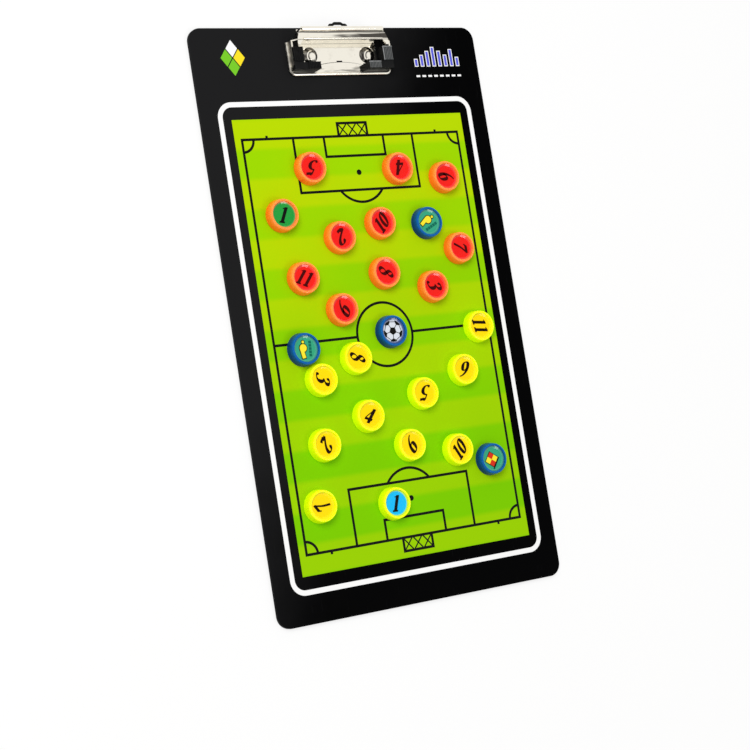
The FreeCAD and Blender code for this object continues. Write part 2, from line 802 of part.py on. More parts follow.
def grip_right(lever):
    """The L-shaped rubber grip that fills the right front corner of the jaw."""
    low_z = face_z + grip_floor_gap
    rear_y = board_top - grip_rear_below_top
    outline = lines_through([
        Vector(grip_arm_inner_end, grip_front_y, 0),
        Vector(wall_half_width, grip_front_y, 0),
        Vector(wall_half_width, rear_y, 0),
        Vector(grip_inner_half_width, rear_y, 0),
        Vector(grip_inner_half_width, grip_arm_y, 0),
        Vector(grip_arm_inner_end, grip_arm_y, 0),
        Vector(grip_arm_inner_end, grip_front_y, 0),
    ])
    block = plate_from(outline, low_z, grip_height - grip_floor_gap)
    high = face_z + grip_height - grip_chamfer / 2
    block = block.makeChamfer(grip_chamfer, [edge for edge in block.Edges if edge.BoundBox.ZMin > high])
    pieces = block.cut(lever).Solids
    return max(pieces, key=lambda piece: piece.Volume)


def build():
    """Every piece of the board by name."""
    lines = pitch_lines()
    lever = clip_lever()
    right_grip = grip_right(lever)
    spring = spring_right()
    clip = {
        "clip_base": clip_base(),
        "clip_rivets": Part.makeCompound([rivet(x) for x in rivet_places()]),
        "rivet_washers": Part.makeCompound([rivet_washer(x) for x in rivet_places()]),
        "hinge_rod": hinge_rod(),
        "spring_right": spring,
        "spring_left": mirrored(spring),
        "hanging_loop": hanging_loop(),
        "clip_lever": lever,
        "grip_right": right_grip,
        "grip_left": mirrored(right_grip),
    }
    for piece in clip.values():
        piece.translate(Vector(clip_middle_x, 0, 0))
    pieces = {
        "rear_panel": rear_panel(),
        "steel_sheet": steel_sheet(),
        "front_panel": front_panel(),
        "field_sheet": field_block().cut(lines),
        "pitch_lines": lines,
        "border_line": border_line(),
    }
    pieces.update(clip)
    pieces.update(counters())
    return pieces


os.makedirs("parts", exist_ok=True)
for name, shape in build().items():
    shape.exportStep(os.path.join("parts", f"{name}.step"))
    print(f"{name}: solids {len(shape.Solids)}, valid {shape.isValid()}, volume {shape.Volume:.2f}")
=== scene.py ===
"""Looks of the tactics board: finishes for its solids, and finer meshes for its small pieces."""

import logging
import math
from dataclasses import dataclass
from enum import Enum
from functools import cached_property
from typing import Any, Iterable, Sequence, Union

import bmesh
import bpy
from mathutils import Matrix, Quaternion, Vector


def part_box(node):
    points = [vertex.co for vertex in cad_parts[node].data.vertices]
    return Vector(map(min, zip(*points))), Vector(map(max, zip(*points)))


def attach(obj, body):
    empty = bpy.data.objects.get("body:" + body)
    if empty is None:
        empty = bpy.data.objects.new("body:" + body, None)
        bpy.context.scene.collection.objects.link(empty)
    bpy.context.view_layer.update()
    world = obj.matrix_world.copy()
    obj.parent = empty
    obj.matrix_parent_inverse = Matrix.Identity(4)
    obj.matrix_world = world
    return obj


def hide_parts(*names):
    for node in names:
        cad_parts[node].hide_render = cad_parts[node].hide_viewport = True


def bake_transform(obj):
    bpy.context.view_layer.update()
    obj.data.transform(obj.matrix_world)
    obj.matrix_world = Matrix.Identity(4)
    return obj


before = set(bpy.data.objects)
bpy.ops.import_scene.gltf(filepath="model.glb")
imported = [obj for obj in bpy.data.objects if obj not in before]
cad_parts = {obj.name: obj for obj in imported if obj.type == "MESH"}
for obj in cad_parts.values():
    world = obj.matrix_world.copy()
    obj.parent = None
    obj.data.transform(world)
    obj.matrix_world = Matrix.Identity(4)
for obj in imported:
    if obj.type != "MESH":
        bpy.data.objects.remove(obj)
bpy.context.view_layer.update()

LOG = logging.getLogger("tactics_board")
MM = 0.001
NOISE_MIDDLE = 0.5
CURVE_STEPS = 8

Point = tuple[float, float]
Triple = tuple[float, float, float]
Colour = Triple
Term = Union["Signal", float, Triple]


class Signal:
    """A socket's value, which Python's operators extend with Math nodes."""

    def __init__(self, graph: "Graph", socket: bpy.types.NodeSocket | None) -> None:
        """Keep the graph and the socket that the value comes out of."""
        self.graph = graph
        self.socket = socket

    def __add__(self, other: Term) -> "Signal":
        """Give self + other."""
        return self.graph.math("ADD", self, other)

    def __radd__(self, other: Term) -> "Signal":
        """Give other + self."""
        return self.graph.math("ADD", other, self)

    def __sub__(self, other: Term) -> "Signal":
        """Give self - other."""
        return self.graph.math("SUBTRACT", self, other)

    def __rsub__(self, other: Term) -> "Signal":
        """Give other - self."""
        return self.graph.math("SUBTRACT", other, self)

    def __mul__(self, other: Term) -> "Signal":
        """Give self * other."""
        return self.graph.math("MULTIPLY", self, other)

    def __rmul__(self, other: Term) -> "Signal":
        """Give other * self."""
        return self.graph.math("MULTIPLY", other, self)

    def wave(self) -> "Signal":
        """Give the sine of the value."""
        return self.graph.math("SINE", self)

    def size(self) -> "Signal":
        """Give the value without its sign."""
        return self.graph.math("ABSOLUTE", self)

    def root(self) -> "Signal":
        """Give the square root of the value."""
        return self.graph.math("SQRT", self)

    def capped(self) -> "Signal":
        """Give the value, or 1 where it is more."""
        return self.graph.math("MINIMUM", self, 1.0)

    def rise(self, low: float, high: float) -> "Signal":
        """Give a smooth step from 0 at low to 1 at high."""
        inputs = {"Value": self, "From Min": low, "From Max": high}
        return self.graph.add("ShaderNodeMapRange", {"interpolation_type": "SMOOTHSTEP"}, inputs)

    def span(self, base: float, swing: float) -> "Signal":
        """Give a value that goes from base to base + swing as this one goes from 0 to 1."""
        return base + self * swing

    def drift(self, reach: float) -> "Signal":
        """Give noise as a drift about zero that covers reach in all."""
        return (self - NOISE_MIDDLE) * reach


@dataclass(frozen=True)
class Grain:
    """A noise pattern: its spots' size in millimetres, its finer layers, and factors on its coordinates."""

    size: float
    detail: float = 3.0
    stretch: Triple = (1.0, 1.0, 1.0)


class Graph:
    """The node tree of one material or world, written as expressions."""

    def __init__(self, tree: bpy.types.NodeTree) -> None:
        """Take over a node tree and empty it."""
        self.tree = tree
        tree.nodes.clear()

    def add(
        self,
        kind: str,
        settings: dict[str, Any] | None = None,
        inputs: dict[str | int, Term] | None = None,
        output: str | int = 0,
    ) -> Signal:
        """Add one node, set it up and feed its sockets.

        Args:
            kind: the node's type.
            settings: its properties, which are set first.
            inputs: values or signals by socket identifier, name or index.
            output: the socket to give back, by identifier, name or index.

        Returns:
            The chosen output as a signal, with no socket where the node has no output.
        """
        node = self.tree.nodes.new(kind)
        for name, value in (settings or {}).items():
            setattr(node, name, value)
        for name, value in (inputs or {}).items():
            socket = self._socket(node.inputs, name)
            if isinstance(value, Signal):
                self.tree.links.new(value.socket, socket)
            elif isinstance(value, tuple) and socket.type == "RGBA":
                socket.default_value = (*value, 1.0)
            else:
                socket.default_value = value
        return Signal(self, self._socket(node.outputs, output) if len(node.outputs) else None)

    @staticmethod
    def _socket(sockets: Any, key: str | int) -> bpy.types.NodeSocket:
        """Find one of a node's sockets.

        Args:
            sockets: the node's inputs or outputs.
            key: the socket's index, identifier or name.

        Returns:
            The socket.
        """
        if isinstance(key, int):
            return sockets[key]
        return next((socket for socket in sockets if socket.identifier == key), None) or sockets[key]

    def math(self, operation: str, *terms: Term) -> Signal:
        """Add a Math node over one or two terms."""
        return self.add("ShaderNodeMath", {"operation": operation}, dict(enumerate(terms)))

    def place(self) -> Signal:
        """Give the point on the piece in its own frame, in metres."""
        return self.add("ShaderNodeTexCoord", output="Object")

    def axes(self) -> tuple[Signal, Signal, Signal]:
        """Split the point on the piece into its coordinates.

        Returns:
            The point's x, y and z in millimetres.
        """
        inputs = {"Vector": self.place(), "Scale": 1 / MM}
        place = self.add("ShaderNodeVectorMath", {"operation": "SCALE"}, inputs)
        return tuple(self.add("ShaderNodeSeparateXYZ", None, {"Vector": place}, axis) for axis in range(3))

    def noise(self, grain: Grain) -> Signal:
        """Give noise around 0.5.

        Args:
            grain: the pattern; a small stretch draws its spots out along that axis.

        Returns:
            The noise as a signal.
        """
        stretch = {0: self.place(), 1: grain.stretch}
        place = self.add("ShaderNodeVectorMath", {"operation": "MULTIPLY"}, stretch, "Vector")
        inputs = {"Vector": place, "Scale": 1 / (grain.size * MM), "Detail": grain.detail}
        return self.add("ShaderNodeTexNoise", None, inputs)

    def cells(self, size: float) -> Signal:
        """Give the distance to the nearest of random points about size millimetres apart, from 0 to 1."""
        inputs = {"Vector": self.place(), "Scale": 1 / (size * MM)}
        return self.add("ShaderNodeTexVoronoi", None, inputs, "Distance")

    def mix(self, first: Term, second: Term, share: Term) -> Signal:
        """Blend two colours, with share as how much of the second one shows."""
        inputs = {"Factor_Float": share, "A_Color": first, "B_Color": second}
        return self.add("ShaderNodeMix", {"data_type": "RGBA"}, inputs, "Result_Color")

    def bump(self, height: Signal, depth: float) -> Signal:
        """Give a normal for a relief that is depth millimetres high."""
        return self.add("ShaderNodeBump", None, {"Height": height, "Distance": depth * MM})


@dataclass(frozen=True)
class Finish:
    """A finish that is made once as a material and shared."""

    name: str

    def sockets(self, graph: Graph) -> dict[str, Term]:
        """Give what feeds the shader's sockets, by their names."""
        raise NotImplementedError

    def material(self) -> bpy.types.Material:
        """Make the finish on first use.

        Returns:
            The finish as a material.
        """
        made = bpy.data.materials.get(self.name)
        if made:
            return made
        made = bpy.data.materials.new(self.name)
        made.use_nodes = True
        graph = Graph(made.node_tree)
        shader = graph.add("ShaderNodeBsdfPrincipled", None, self.sockets(graph))
        graph.add("ShaderNodeOutputMaterial", None, {"Surface": shader})
        return made


@dataclass(frozen=True)
class BoardLacquer(Finish):
    """Black laminated board with a fine peel, faint smudges, hairline scratches and a painted sheen over one
    side.
    """

    dark: Colour = (0.0003, 0.0003, 0.0004)
    pale: Colour = (0.0118, 0.0118, 0.0124)
    haze_lean: float = 0.45
    haze_middle: float = -32.0
    haze_reach: float = 50.0
    smudge: Grain = Grain(38.0, 4.0)
    scratch: Grain = Grain(0.6, 2.0, (1.0, 0.03, 1.0))
    scratch_step: Point = (0.66, 0.74)
    scratch_share: float = 0.3
    peel: Grain = Grain(0.35, 2.0)
    peel_depth: float = 0.004
    gloss: Point = (0.32, 0.16)
    lustre: float = 0.014

    def sockets(self, graph: Graph) -> dict[str, Term]:
        """Paint a paler sheen over one side of the board as painted reflection, and scratch it.

        Args:
            graph: the material's node tree.

        Returns:
            What feeds the shader's sockets, by their names.
        """
        across, along, _ = graph.axes()
        smudge = graph.noise(self.smudge)
        scratch = graph.noise(self.scratch).rise(*self.scratch_step)
        # painted reflection: the black turns paler over one side of the board, its edge wavering with the
        # smudges
        edge = across - along * self.haze_lean + smudge.drift(self.haze_reach)
        painted_sheen = edge.rise(self.haze_middle + self.haze_reach, self.haze_middle - self.haze_reach)
        return {
            "Base Color": graph.mix(self.dark, self.pale, painted_sheen + scratch * self.scratch_share),
            "Roughness": smudge.span(*self.gloss),
            "Specular IOR Level": self.lustre,
            "Normal": graph.bump(graph.noise(self.peel), self.peel_depth),
        }


@dataclass(frozen=True)
class FieldPrint(Finish):
    """The printed field: mown bands across it under a thin laminate."""

    low_y: float = 0.0
    band: float = 18.0
    light: Colour = (0.295, 0.575, 0.001)
    dark: Colour = (0.185, 0.545, 0.0005)
    light_top: Colour = (0.44, 0.635, 0.001)
    dark_top: Colour = (0.315, 0.625, 0.0005)
    half_fade: float = 125.0
    edge: float = 0.35
    sun: Grain = Grain(70.0, 2.0)
    blades: Grain = Grain(0.5, 2.0, (1.0, 0.35, 1.0))
    blade_level: float = 0.45
    blade_share: float = 0.35
    sheen: Grain = Grain(20.0)
    peel: Grain = Grain(0.4, 2.0)
    peel_depth: float = 0.003
    gloss: Point = (0.34, 0.14)
    lustre: float = 0.02

    def sockets(self, graph: Graph) -> dict[str, Term]:
        """Colour light and dark bands in turn, with painted light making both brighter towards the clip.

        Args:
            graph: the material's node tree.

        Returns:
            What feeds the shader's sockets, by their names.
        """
        _, along, _ = graph.axes()
        lit = ((along - self.low_y) * (math.pi / self.band)).wave().rise(-self.edge, self.edge)
        # painted light: the bands blend to lit copies of their colours towards the clip
        painted_light = (along + graph.noise(self.sun).drift(self.half_fade)).rise(-self.half_fade, self.half_fade)
        shade = graph.mix(self.dark, self.dark_top, painted_light)
        grass = graph.mix(shade, graph.mix(self.light, self.light_top, painted_light), lit)
        blades = (graph.noise(self.blades) - self.blade_level) * self.blade_share
        return {
            "Base Color": graph.mix(grass, shade, blades),
            "Roughness": graph.noise(self.sheen).span(*self.gloss),
            "Specular IOR Level": self.lustre,
            "Normal": graph.bump(graph.noise(self.peel), self.peel_depth),
        }


@dataclass(frozen=True)
class PrintInk(Finish):
    """A screen-printed ink with a slightly uneven film."""

    colour: Colour = (0.002, 0.002, 0.002)
    thin: float = 0.12
    gloss: float = 0.4
    lustre: float = 0.06
    thin_lift: float = 0.002
    film: Grain = Grain(0.8)
    film_depth: float = 0.006
    film_gloss: float = 0.15

    def sockets(self, graph: Graph) -> dict[str, Term]:
        """Make the ink paler where its film is thin.

        Args:
            graph: the material's node tree.

        Returns:
            What feeds the shader's sockets, by their names.
        """
        film = graph.noise(self.film)
        pale = tuple(min(1.0, value * (1.0 + self.thin) + self.thin_lift) for value in self.colour)
        return {
            "Base Color": graph.mix(self.colour, pale, film),
            "Roughness": self.gloss + film.drift(self.film_gloss),
            "Specular IOR Level": self.lustre,
            "Normal": graph.bump(film, self.film_depth),
        }


@dataclass(frozen=True)
class PlatedSteel(Finish):
    """Bright plating over pressed sheet, with fine wipe marks and a few dull spots."""

    bright: Colour = (0.88, 0.84, 0.74)
    dull: Colour = (0.66, 0.61, 0.52)
    grime: Colour = (0.035, 0.03, 0.026)
    polish: float = 0.05
    cloud: Grain = Grain(6.0, 4.0)
    cloud_step: Point = (0.5, 0.85)
    cloud_share: float = 0.6
    cloud_depth: float = 0.03
    wipe: Grain = Grain(0.5, 2.0, (0.06, 1.0, 1.0))
    wipe_gloss: float = 0.08
    spot_size: float = 3.5
    spot_step: Point = (0.16, 0.05)
    spot_share: float = 0.4
    spot_gloss: float = 0.12

    def soil(self, graph: Graph) -> Term:
        """Give the share of painted shade and painted dark reflection on the plating."""
        return 0.0

    def wear(self, graph: Graph) -> Term:
        """Give the roughness that wear adds to the plating."""
        return 0.0

    def sockets(self, graph: Graph) -> dict[str, Term]:
        """Dull the plating in clouds and spots, under its painted shade and painted dark reflections.

        Args:
            graph: the material's node tree.

        Returns:
            What feeds the shader's sockets, by their names.
        """
        cloud = graph.noise(self.cloud)
        spot = graph.cells(self.spot_size).rise(*self.spot_step)
        dullness = cloud.rise(*self.cloud_step) * self.cloud_share + spot * self.spot_share
        plating = graph.mix(self.bright, self.dull, dullness)
        wiped = graph.noise(self.wipe).span(self.polish, self.wipe_gloss)
        return {
            # painted shade: the dark colour is painted in where the subclasses ask for it
            "Base Color": graph.mix(plating, self.grime, self.soil(graph)),
            "Metallic": 1.0,
            "Roughness": wiped + spot * self.spot_gloss + self.wear(graph),
            "Normal": graph.bump(cloud, self.cloud_depth),
        }


@dataclass(frozen=True)
class LeverPlating(PlatedSteel):
    """Plating of the lever, with painted shade along its press tab's crease and front edge, painted dark
    reflections streaked along the tab, on its lip and mottled over its rougher side walls.
    """

    middle_x: float = 0.0
    run: Grain = Grain(7.0, 2.0, (0.3, 1.0, 1.0))
    tab_z: float = 11.5
    tab_step: Point = (-0.2, 0.3)
    crease_y: float = 169.8
    crease_run: float = 0.5
    crease_step: Point = (0.65, 0.3)
    crease_share: float = 0.85
    trough_y: float = 167.8
    trough_run: float = 1.2
    trough_spread: float = 0.022
    trough_step: Point = (1.4, 0.6)
    trough_share: float = 0.95
    patch_spread: float = 0.014
    patch_step: Point = (0.42, 0.66)
    front_y: float = 164.9
    front_step: Point = (0.3, 0.1)
    front_share: float = 0.6
    lip_y: float = 150.6
    lip_depth: float = 5.0
    lip_fade: float = 0.8
    lip_share: float = 0.6
    smear: Grain = Grain(1.6, 3.0, (0.12, 1.0, 1.0))
    smear_step: Point = (0.48, 0.66)
    wall_x: float = 33.0
    wall_fade: float = 0.8
    wall_top: float = 9.4
    wall_step: Point = (0.1, -0.3)
    wall_soil: Point = (0.2, 0.4)
    wall_wear: float = 0.35
    mottle: Grain = Grain(3.0)
    mottle_step: Point = (0.35, 0.7)

    def soil(self, graph: Graph) -> Term:
        """Paint shade along the press tab's crease and front edge, and paint dark reflections streaked along
        the tab, on the lip and mottled over the side walls.

        Args:
            graph: the material's node tree.

        Returns:
            The share of painted shade and painted dark reflection on the plating.
        """
        across, along, height = graph.axes()
        right = across - self.middle_x
        run = graph.noise(self.run)
        on_tab = height.rise(*(self.tab_z + step for step in self.tab_step))
        # painted shade in the crease under the bead and along the tab's front edge; painted dark reflections
        # in the trough's streaks
        crease = (along + run * self.crease_run - self.crease_y).size().rise(*self.crease_step)
        trough = (along + run * self.trough_run - self.trough_y).size() - right * self.trough_spread
        patch = (run + right * self.patch_spread).rise(*self.patch_step)
        streak = trough.rise(*self.trough_step) * patch
        front = (along - self.front_y).size().rise(*self.front_step)
        tab = crease * self.crease_share + streak * self.trough_share + front * self.front_share
        lip_end = self.lip_y - self.lip_depth
        ahead = along.rise(self.lip_y, self.lip_y - self.lip_fade)
        lip = ahead * along.rise(lip_end, lip_end + self.lip_fade)
        # painted dark reflections on the lip and, mottled, on the side walls
        smear = graph.noise(self.smear).rise(*self.smear_step)
        mottle = graph.noise(self.mottle).rise(*self.mottle_step)
        wall = self._wall(graph) * mottle.span(*self.wall_soil)
        return (on_tab * tab + lip * smear * self.lip_share + wall).capped()

    def wear(self, graph: Graph) -> Term:
        """Give the roughness that wear adds to the plating."""
        return self._wall(graph) * self.wall_wear

    def _wall(self, graph: Graph) -> Signal:
        """Find the outer side walls.

        Args:
            graph: the material's node tree.

        Returns:
            1 on the walls and 0 elsewhere.
        """
        across, _, height = graph.axes()
        outside = (across - self.middle_x).size().rise(self.wall_x, self.wall_x + self.wall_fade)
        return outside * height.rise(*(self.wall_top + step for step in self.wall_step))


@dataclass(frozen=True)
class RivetPlating(PlatedSteel):
    """Plating of the two rivets, with painted dark reflections towards their edges."""

    middle: Point = (0.0, 157.5)
    half_spacing: float = 20.0
    split: float = 0.1
    radius: float = 5.0
    clean_radius: float = 1.7
    clean_fade: float = 1.0
    clean_offset: Point = (0.9, -0.8)
    glint_inset: float = 1.6
    glint_step: Point = (0.5, 0.2)
    glint_half: float = 0.5
    patch: Grain = Grain(2.5, 2.0)
    patch_step: Point = (0.3, 0.6)
    patch_span: Point = (0.7, 0.3)

    def soil(self, graph: Graph) -> Term:
        """Paint dark reflections on each rivet outside its bright crown, leaving a painted glint on its left.

        Args:
            graph: the material's node tree.

        Returns:
            The share of painted dark reflection on the plating.
        """
        across, along, _ = graph.axes()
        right = across - self.middle[0]
        which = 2.0 * right.rise(-self.split, self.split) - 1.0
        side = right - self.half_spacing * which - self.clean_offset[0]
        back = along - self.middle[1] - self.clean_offset[1]
        reach = (side * side + back * back).root()
        # painted glint: an arc on each rivet's left is kept bright
        arc = (reach - self.radius + self.glint_inset).size().rise(*self.glint_step)
        glint = arc * side.rise(self.glint_half, -self.glint_half)
        patchy = graph.noise(self.patch).rise(*self.patch_step).span(*self.patch_span)
        ring = reach.rise(self.clean_radius, self.clean_radius + self.clean_fade)
        return ring * patchy * (1.0 - glint)


@dataclass(frozen=True)
class DrawnSteel(Finish):
    """Bare steel with fine lines along the way that it was drawn or rolled."""

    bright: Colour = (0.62, 0.61, 0.6)
    dark: Colour = (0.36, 0.35, 0.34)
    line: Grain = Grain(0.25, 3.0, (0.05, 1.0, 1.0))
    line_depth: float = 0.008
    gloss: Point = (0.22, 0.22)

    def sockets(self, graph: Graph) -> dict[str, Term]:
        """Draw the lines in colour, gloss and relief.

        Args:
            graph: the material's node tree.

        Returns:
            What feeds the shader's sockets, by their names.
        """
        line = graph.noise(self.line)
        return {
            "Base Color": graph.mix(self.dark, self.bright, line),
            "Metallic": 1.0,
            "Roughness": line.span(*self.gloss),
            "Normal": graph.bump(line, self.line_depth),
        }


@dataclass(frozen=True)
class Rubber(Finish):
    """Moulded black rubber or soft vinyl with a fine grain."""

    colour: Colour = (0.003, 0.003, 0.0032)
    worn: Colour = (0.011, 0.011, 0.011)
    matt: float = 0.5
    lustre: float = 0.12
    crest: float = 0.0
    crest_fade: float = 0.4
    crest_span: Point = (1.0, 0.6)
    bloom: Grain = Grain(4.0)
    bloom_step: Point = (0.45, 0.8)
    bloom_share: float = 0.6
    grain: Grain = Grain(0.3)
    grain_share: float = 0.2
    grain_gloss: float = 0.2
    grain_depth: float = 0.02

    def sockets(self, graph: Graph) -> dict[str, Term]:
        """Bloom the rubber in patches, or, where it has a crest height, paint a paler sheen along its crests
        as painted reflection.

        Args:
            graph: the material's node tree.

        Returns:
            What feeds the shader's sockets, by their names.
        """
        grain = graph.noise(self.grain)
        bloom = graph.noise(self.bloom).rise(*self.bloom_step)
        if self.crest:
            height = graph.axes()[2]
            # painted reflection: the ribs turn paler towards their crests
            bloom = height.rise(self.crest - self.crest_fade, self.crest) * bloom.span(*self.crest_span)
        worn = bloom * self.bloom_share + grain * self.grain_share
        return {
            "Base Color": graph.mix(self.colour, self.worn, worn),
            "Roughness": grain.span(self.matt, self.grain_gloss),
            "Specular IOR Level": self.lustre,
            "Normal": graph.bump(grain, self.grain_depth),
        }


@dataclass(frozen=True)
class CapPlastic(Finish):
    """Glossy moulded plastic, a little see-through, paler towards the top as painted light, and with a
    painted glow where it has one.
    """

    colour: Colour = (0.9, 0.2, 0.02)
    rim: Colour = (1.0, 0.42, 0.16)
    glow: float = 0.25
    lustre: float = 0.3
    shine: float = 0.0
    rim_step: Point = (1.8, 6.3)
    rim_share: float = 0.8
    flow: Grain = Grain(3.0)
    flow_reach: float = 0.8
    flow_share: float = 0.15
    gloss: Point = (0.16, 0.12)
    bleed: Triple = (1.0, 0.6, 0.3)
    bleed_depth: float = 2.0
    peel: Grain = Grain(0.5, 2.0)
    peel_depth: float = 0.004

    def sockets(self, graph: Graph) -> dict[str, Term]:
        """Paint the plastic paler with height as painted light, its edge wavering along the lines in which it
        flowed.

        Args:
            graph: the material's node tree.

        Returns:
            What feeds the shader's sockets, by their names.
        """
        height = graph.axes()[2]
        flow = graph.noise(self.flow)
        # painted light: the plastic turns to its paler colour towards the top
        pale = (height + flow.drift(self.flow_reach)).rise(*self.rim_step)
        share = pale * self.rim_share + flow.drift(self.flow_share)
        return {
            "Base Color": graph.mix(self.colour, self.rim, share),
            "Roughness": flow.span(*self.gloss),
            "Specular IOR Level": self.lustre,
            # painted glow: emission in the plastic's own colour lights up its shaded sides
            "Emission Color": self.colour,
            "Emission Strength": self.shine,
            "Subsurface Weight": self.glow,
            "Subsurface Radius": self.bleed,
            "Subsurface Scale": self.bleed_depth * MM,
            "Normal": graph.bump(graph.noise(self.peel), self.peel_depth),
        }


@dataclass(frozen=True)
class LabelPaper(Finish):
    """A printed paper disc with another colour at its edge, and a clear film over its brim."""

    colour: Colour = (0.8, 0.02, 0.012)
    edge: Colour = (0.6, 0.01, 0.008)
    edge_width: float = 0.9
    edge_share: float = 0.3
    radius: float = 7.85
    film_start: float = 6.4
    film_fade: float = 0.3
    film_share: float = 0.85
    film_gloss: float = 0.06
    fibre: Grain = Grain(0.4)
    fibre_level: float = 0.45
    fibre_share: float = 0.3
    fibre_depth: float = 0.002
    gloss: Point = (0.24, 0.08)
    lustre: float = 0.1

    def sockets(self, graph: Graph) -> dict[str, Term]:
        """Colour the disc by the distance from its middle.

        Args:
            graph: the material's node tree.

        Returns:
            What feeds the shader's sockets, by their names.
        """
        across, along, _ = graph.axes()
        reach = (across * across + along * along).root()
        rim = reach.rise(self.radius - self.edge_width, self.radius - self.edge_share * self.edge_width)
        fibre = graph.noise(self.fibre)
        paper = graph.mix(self.colour, self.edge, rim)
        return {
            "Base Color": graph.mix(paper, self.edge, (fibre - self.fibre_level) * self.fibre_share),
            "Roughness": fibre.span(*self.gloss),
            "Specular IOR Level": self.lustre,
            "Coat Weight": reach.rise(self.film_start, self.film_start + self.film_fade) * self.film_share,
            "Coat Roughness": self.film_gloss,
            "Normal": graph.bump(fibre, self.fibre_depth),
        }


@dataclass(frozen=True)
class Ferrite(Finish):
    """Sintered magnet: dark grey with a coarse grain."""

    dark: Colour = (0.03, 0.03, 0.032)
    pale: Colour = (0.11, 0.11, 0.115)
    grain: Grain = Grain(0.25, 4.0)
    grain_depth: float = 0.02
    metal: float = 0.2
    gloss: Point = (0.5, 0.2)

    def sockets(self, graph: Graph) -> dict[str, Term]:
        """Spread the grain over colour, gloss and relief.

        Args:
            graph: the material's node tree.

        Returns:
            What feeds the shader's sockets, by their names.
        """
        grain = graph.noise(self.grain)
        return {
            "Base Color": graph.mix(self.dark, self.pale, grain),
            "Metallic": self.metal,
            "Roughness": grain.span(*self.gloss),
            "Normal": graph.bump(grain, self.grain_depth),
        }


BLACK_INK = PrintInk("line_ink")
WHITE_INK = PrintInk("border_ink", (0.86, 0.86, 0.86), 0.03)
MAROON_INK = PrintInk("maroon_ink", (0.048, 0.0006, 0.0012), 0.3, 0.3, 0.05)
BROWN_INK = PrintInk("brown_ink", (0.008, 0.0018, 0.001), 0.3, 0.3, 0.04)
SIGN_YELLOW = PrintInk("sign_yellow", (0.85, 0.72, 0.03), 0.08)
SIGN_RED = PrintInk("sign_red", (0.6, 0.03, 0.012), 0.1)
SIGN_TEAL = PrintInk("sign_teal", (0.004, 0.12, 0.08), 0.2)
BADGE_GREEN = PrintInk("badge_green", (0.16, 0.5, 0.02), 0.08)
BADGE_YELLOW = PrintInk("badge_yellow", (0.85, 0.66, 0.02), 0.08)
BADGE_VIOLET = PrintInk("badge_violet", (0.09, 0.1, 0.6), 0.08)
LACQUER = BoardLacquer("board_lacquer")
CHROME = PlatedSteel("clip_plating")
ROD_STEEL = DrawnSteel("rod_finish", (0.3, 0.29, 0.28), (0.1, 0.1, 0.1))
SHEET_STEEL = DrawnSteel("sheet_finish", line=Grain(0.25, 3.0, (1.0, 0.04, 1.0)))
SPRING_STEEL = DrawnSteel(
    "spring_finish", (0.5, 0.5, 0.49), (0.24, 0.24, 0.24), Grain(0.25, 3.0, (0.2, 1.0, 1.0))
)
GRIP_RUBBER = Rubber("grip_finish")
# pale grey rubber: a painted highlight along the right grip's inner top edges
LIP_HIGHLIGHT_RUBBER = Rubber("grip_lip_highlight_finish", (0.2, 0.205, 0.21), (0.46, 0.47, 0.48), 0.5, 0.3)
LOOP_COAT = Rubber("loop_finish", (0.003, 0.003, 0.003), (0.008, 0.008, 0.008), 0.35)
MAGNET = Ferrite("magnet_finish")
LABEL_RED = LabelPaper("label_red", (0.8, 0.011, 0.009), (0.85, 0.12, 0.02), 0.6)
LABEL_GREEN = LabelPaper("label_green", (0.002, 0.31, 0.045), (0.7, 0.21, 0.03), 0.9)
LABEL_GOLD = LabelPaper("label_gold", (0.96, 0.66, 0.0003), (0.93, 0.74, 0.0008), 1.8, film_share=0.2)
LABEL_CYAN = LabelPaper("label_cyan", (0.0004, 0.46, 0.92), (0.5, 0.75, 0.04), 1.1, film_share=0.2)
# the teal label's darker edge ring is painted shade, where the recess's edge shades the label
LABEL_TEAL = LabelPaper("label_teal", (0.035, 0.36, 0.2), (0.006, 0.2, 0.19), 0.8)
LABEL_WHITE = LabelPaper("label_white", (0.68, 0.72, 0.78), (0.015, 0.06, 0.22), 1.9)
LABEL_INKS: dict[LabelPaper, PrintInk] = {LABEL_RED: MAROON_INK, LABEL_GOLD: BROWN_INK}


@dataclass(frozen=True)
class Layer:
    """Heights between which a flat body lies, and the material slot of its faces."""

    low: float
    high: float
    slot: int = 0

    def raised(self, share: float, slot: int) -> "Layer":
        """Give the layer in a slot, with its top raised by a share of its thickness."""
        return Layer(self.low, self.high + share * (self.high - self.low), slot)


def turns(count: int) -> list[float]:
    """Give as many angles, spread evenly over a full turn, in radians."""
    return [2 * math.pi * step / count for step in range(count)]


def arc(middle: Point, radius: Point, start: float, end: float, steps: int) -> list[Point]:
    """Give points of an elliptic arc.

    Args:
        middle: its middle.
        radius: its half axes.
        start: start angle in degrees.
        end: end angle in degrees.
        steps: number of steps.

    Returns:
        The points from start to end.
    """
    angles = [math.radians(start + (end - start) * step / steps) for step in range(steps + 1)]
    return [(middle[0] + radius[0] * math.cos(a), middle[1] + radius[1] * math.sin(a)) for a in angles]


def polar(radius: float, degrees: float) -> Point:
    """Give the point at a distance and an angle from the origin."""
    return radius * math.cos(math.radians(degrees)), radius * math.sin(math.radians(degrees))


def circle(middle: Point, radius: float, steps: int) -> list[Point]:
    """Give the points of a circle, counter-clockwise."""
    return [(middle[0] + radius * math.cos(a), middle[1] + radius * math.sin(a)) for a in turns(steps)]


def rectangle(left: float, low: float, right: float, high: float, grow: float = 0.0) -> list[Point]:
    """Give the corners of a rectangle, counter-clockwise, grown by a margin on all sides."""
    left, low, right, high = left - grow, low - grow, right + grow, high + grow
    return [(left, low), (right, low), (right, high), (left, high)]


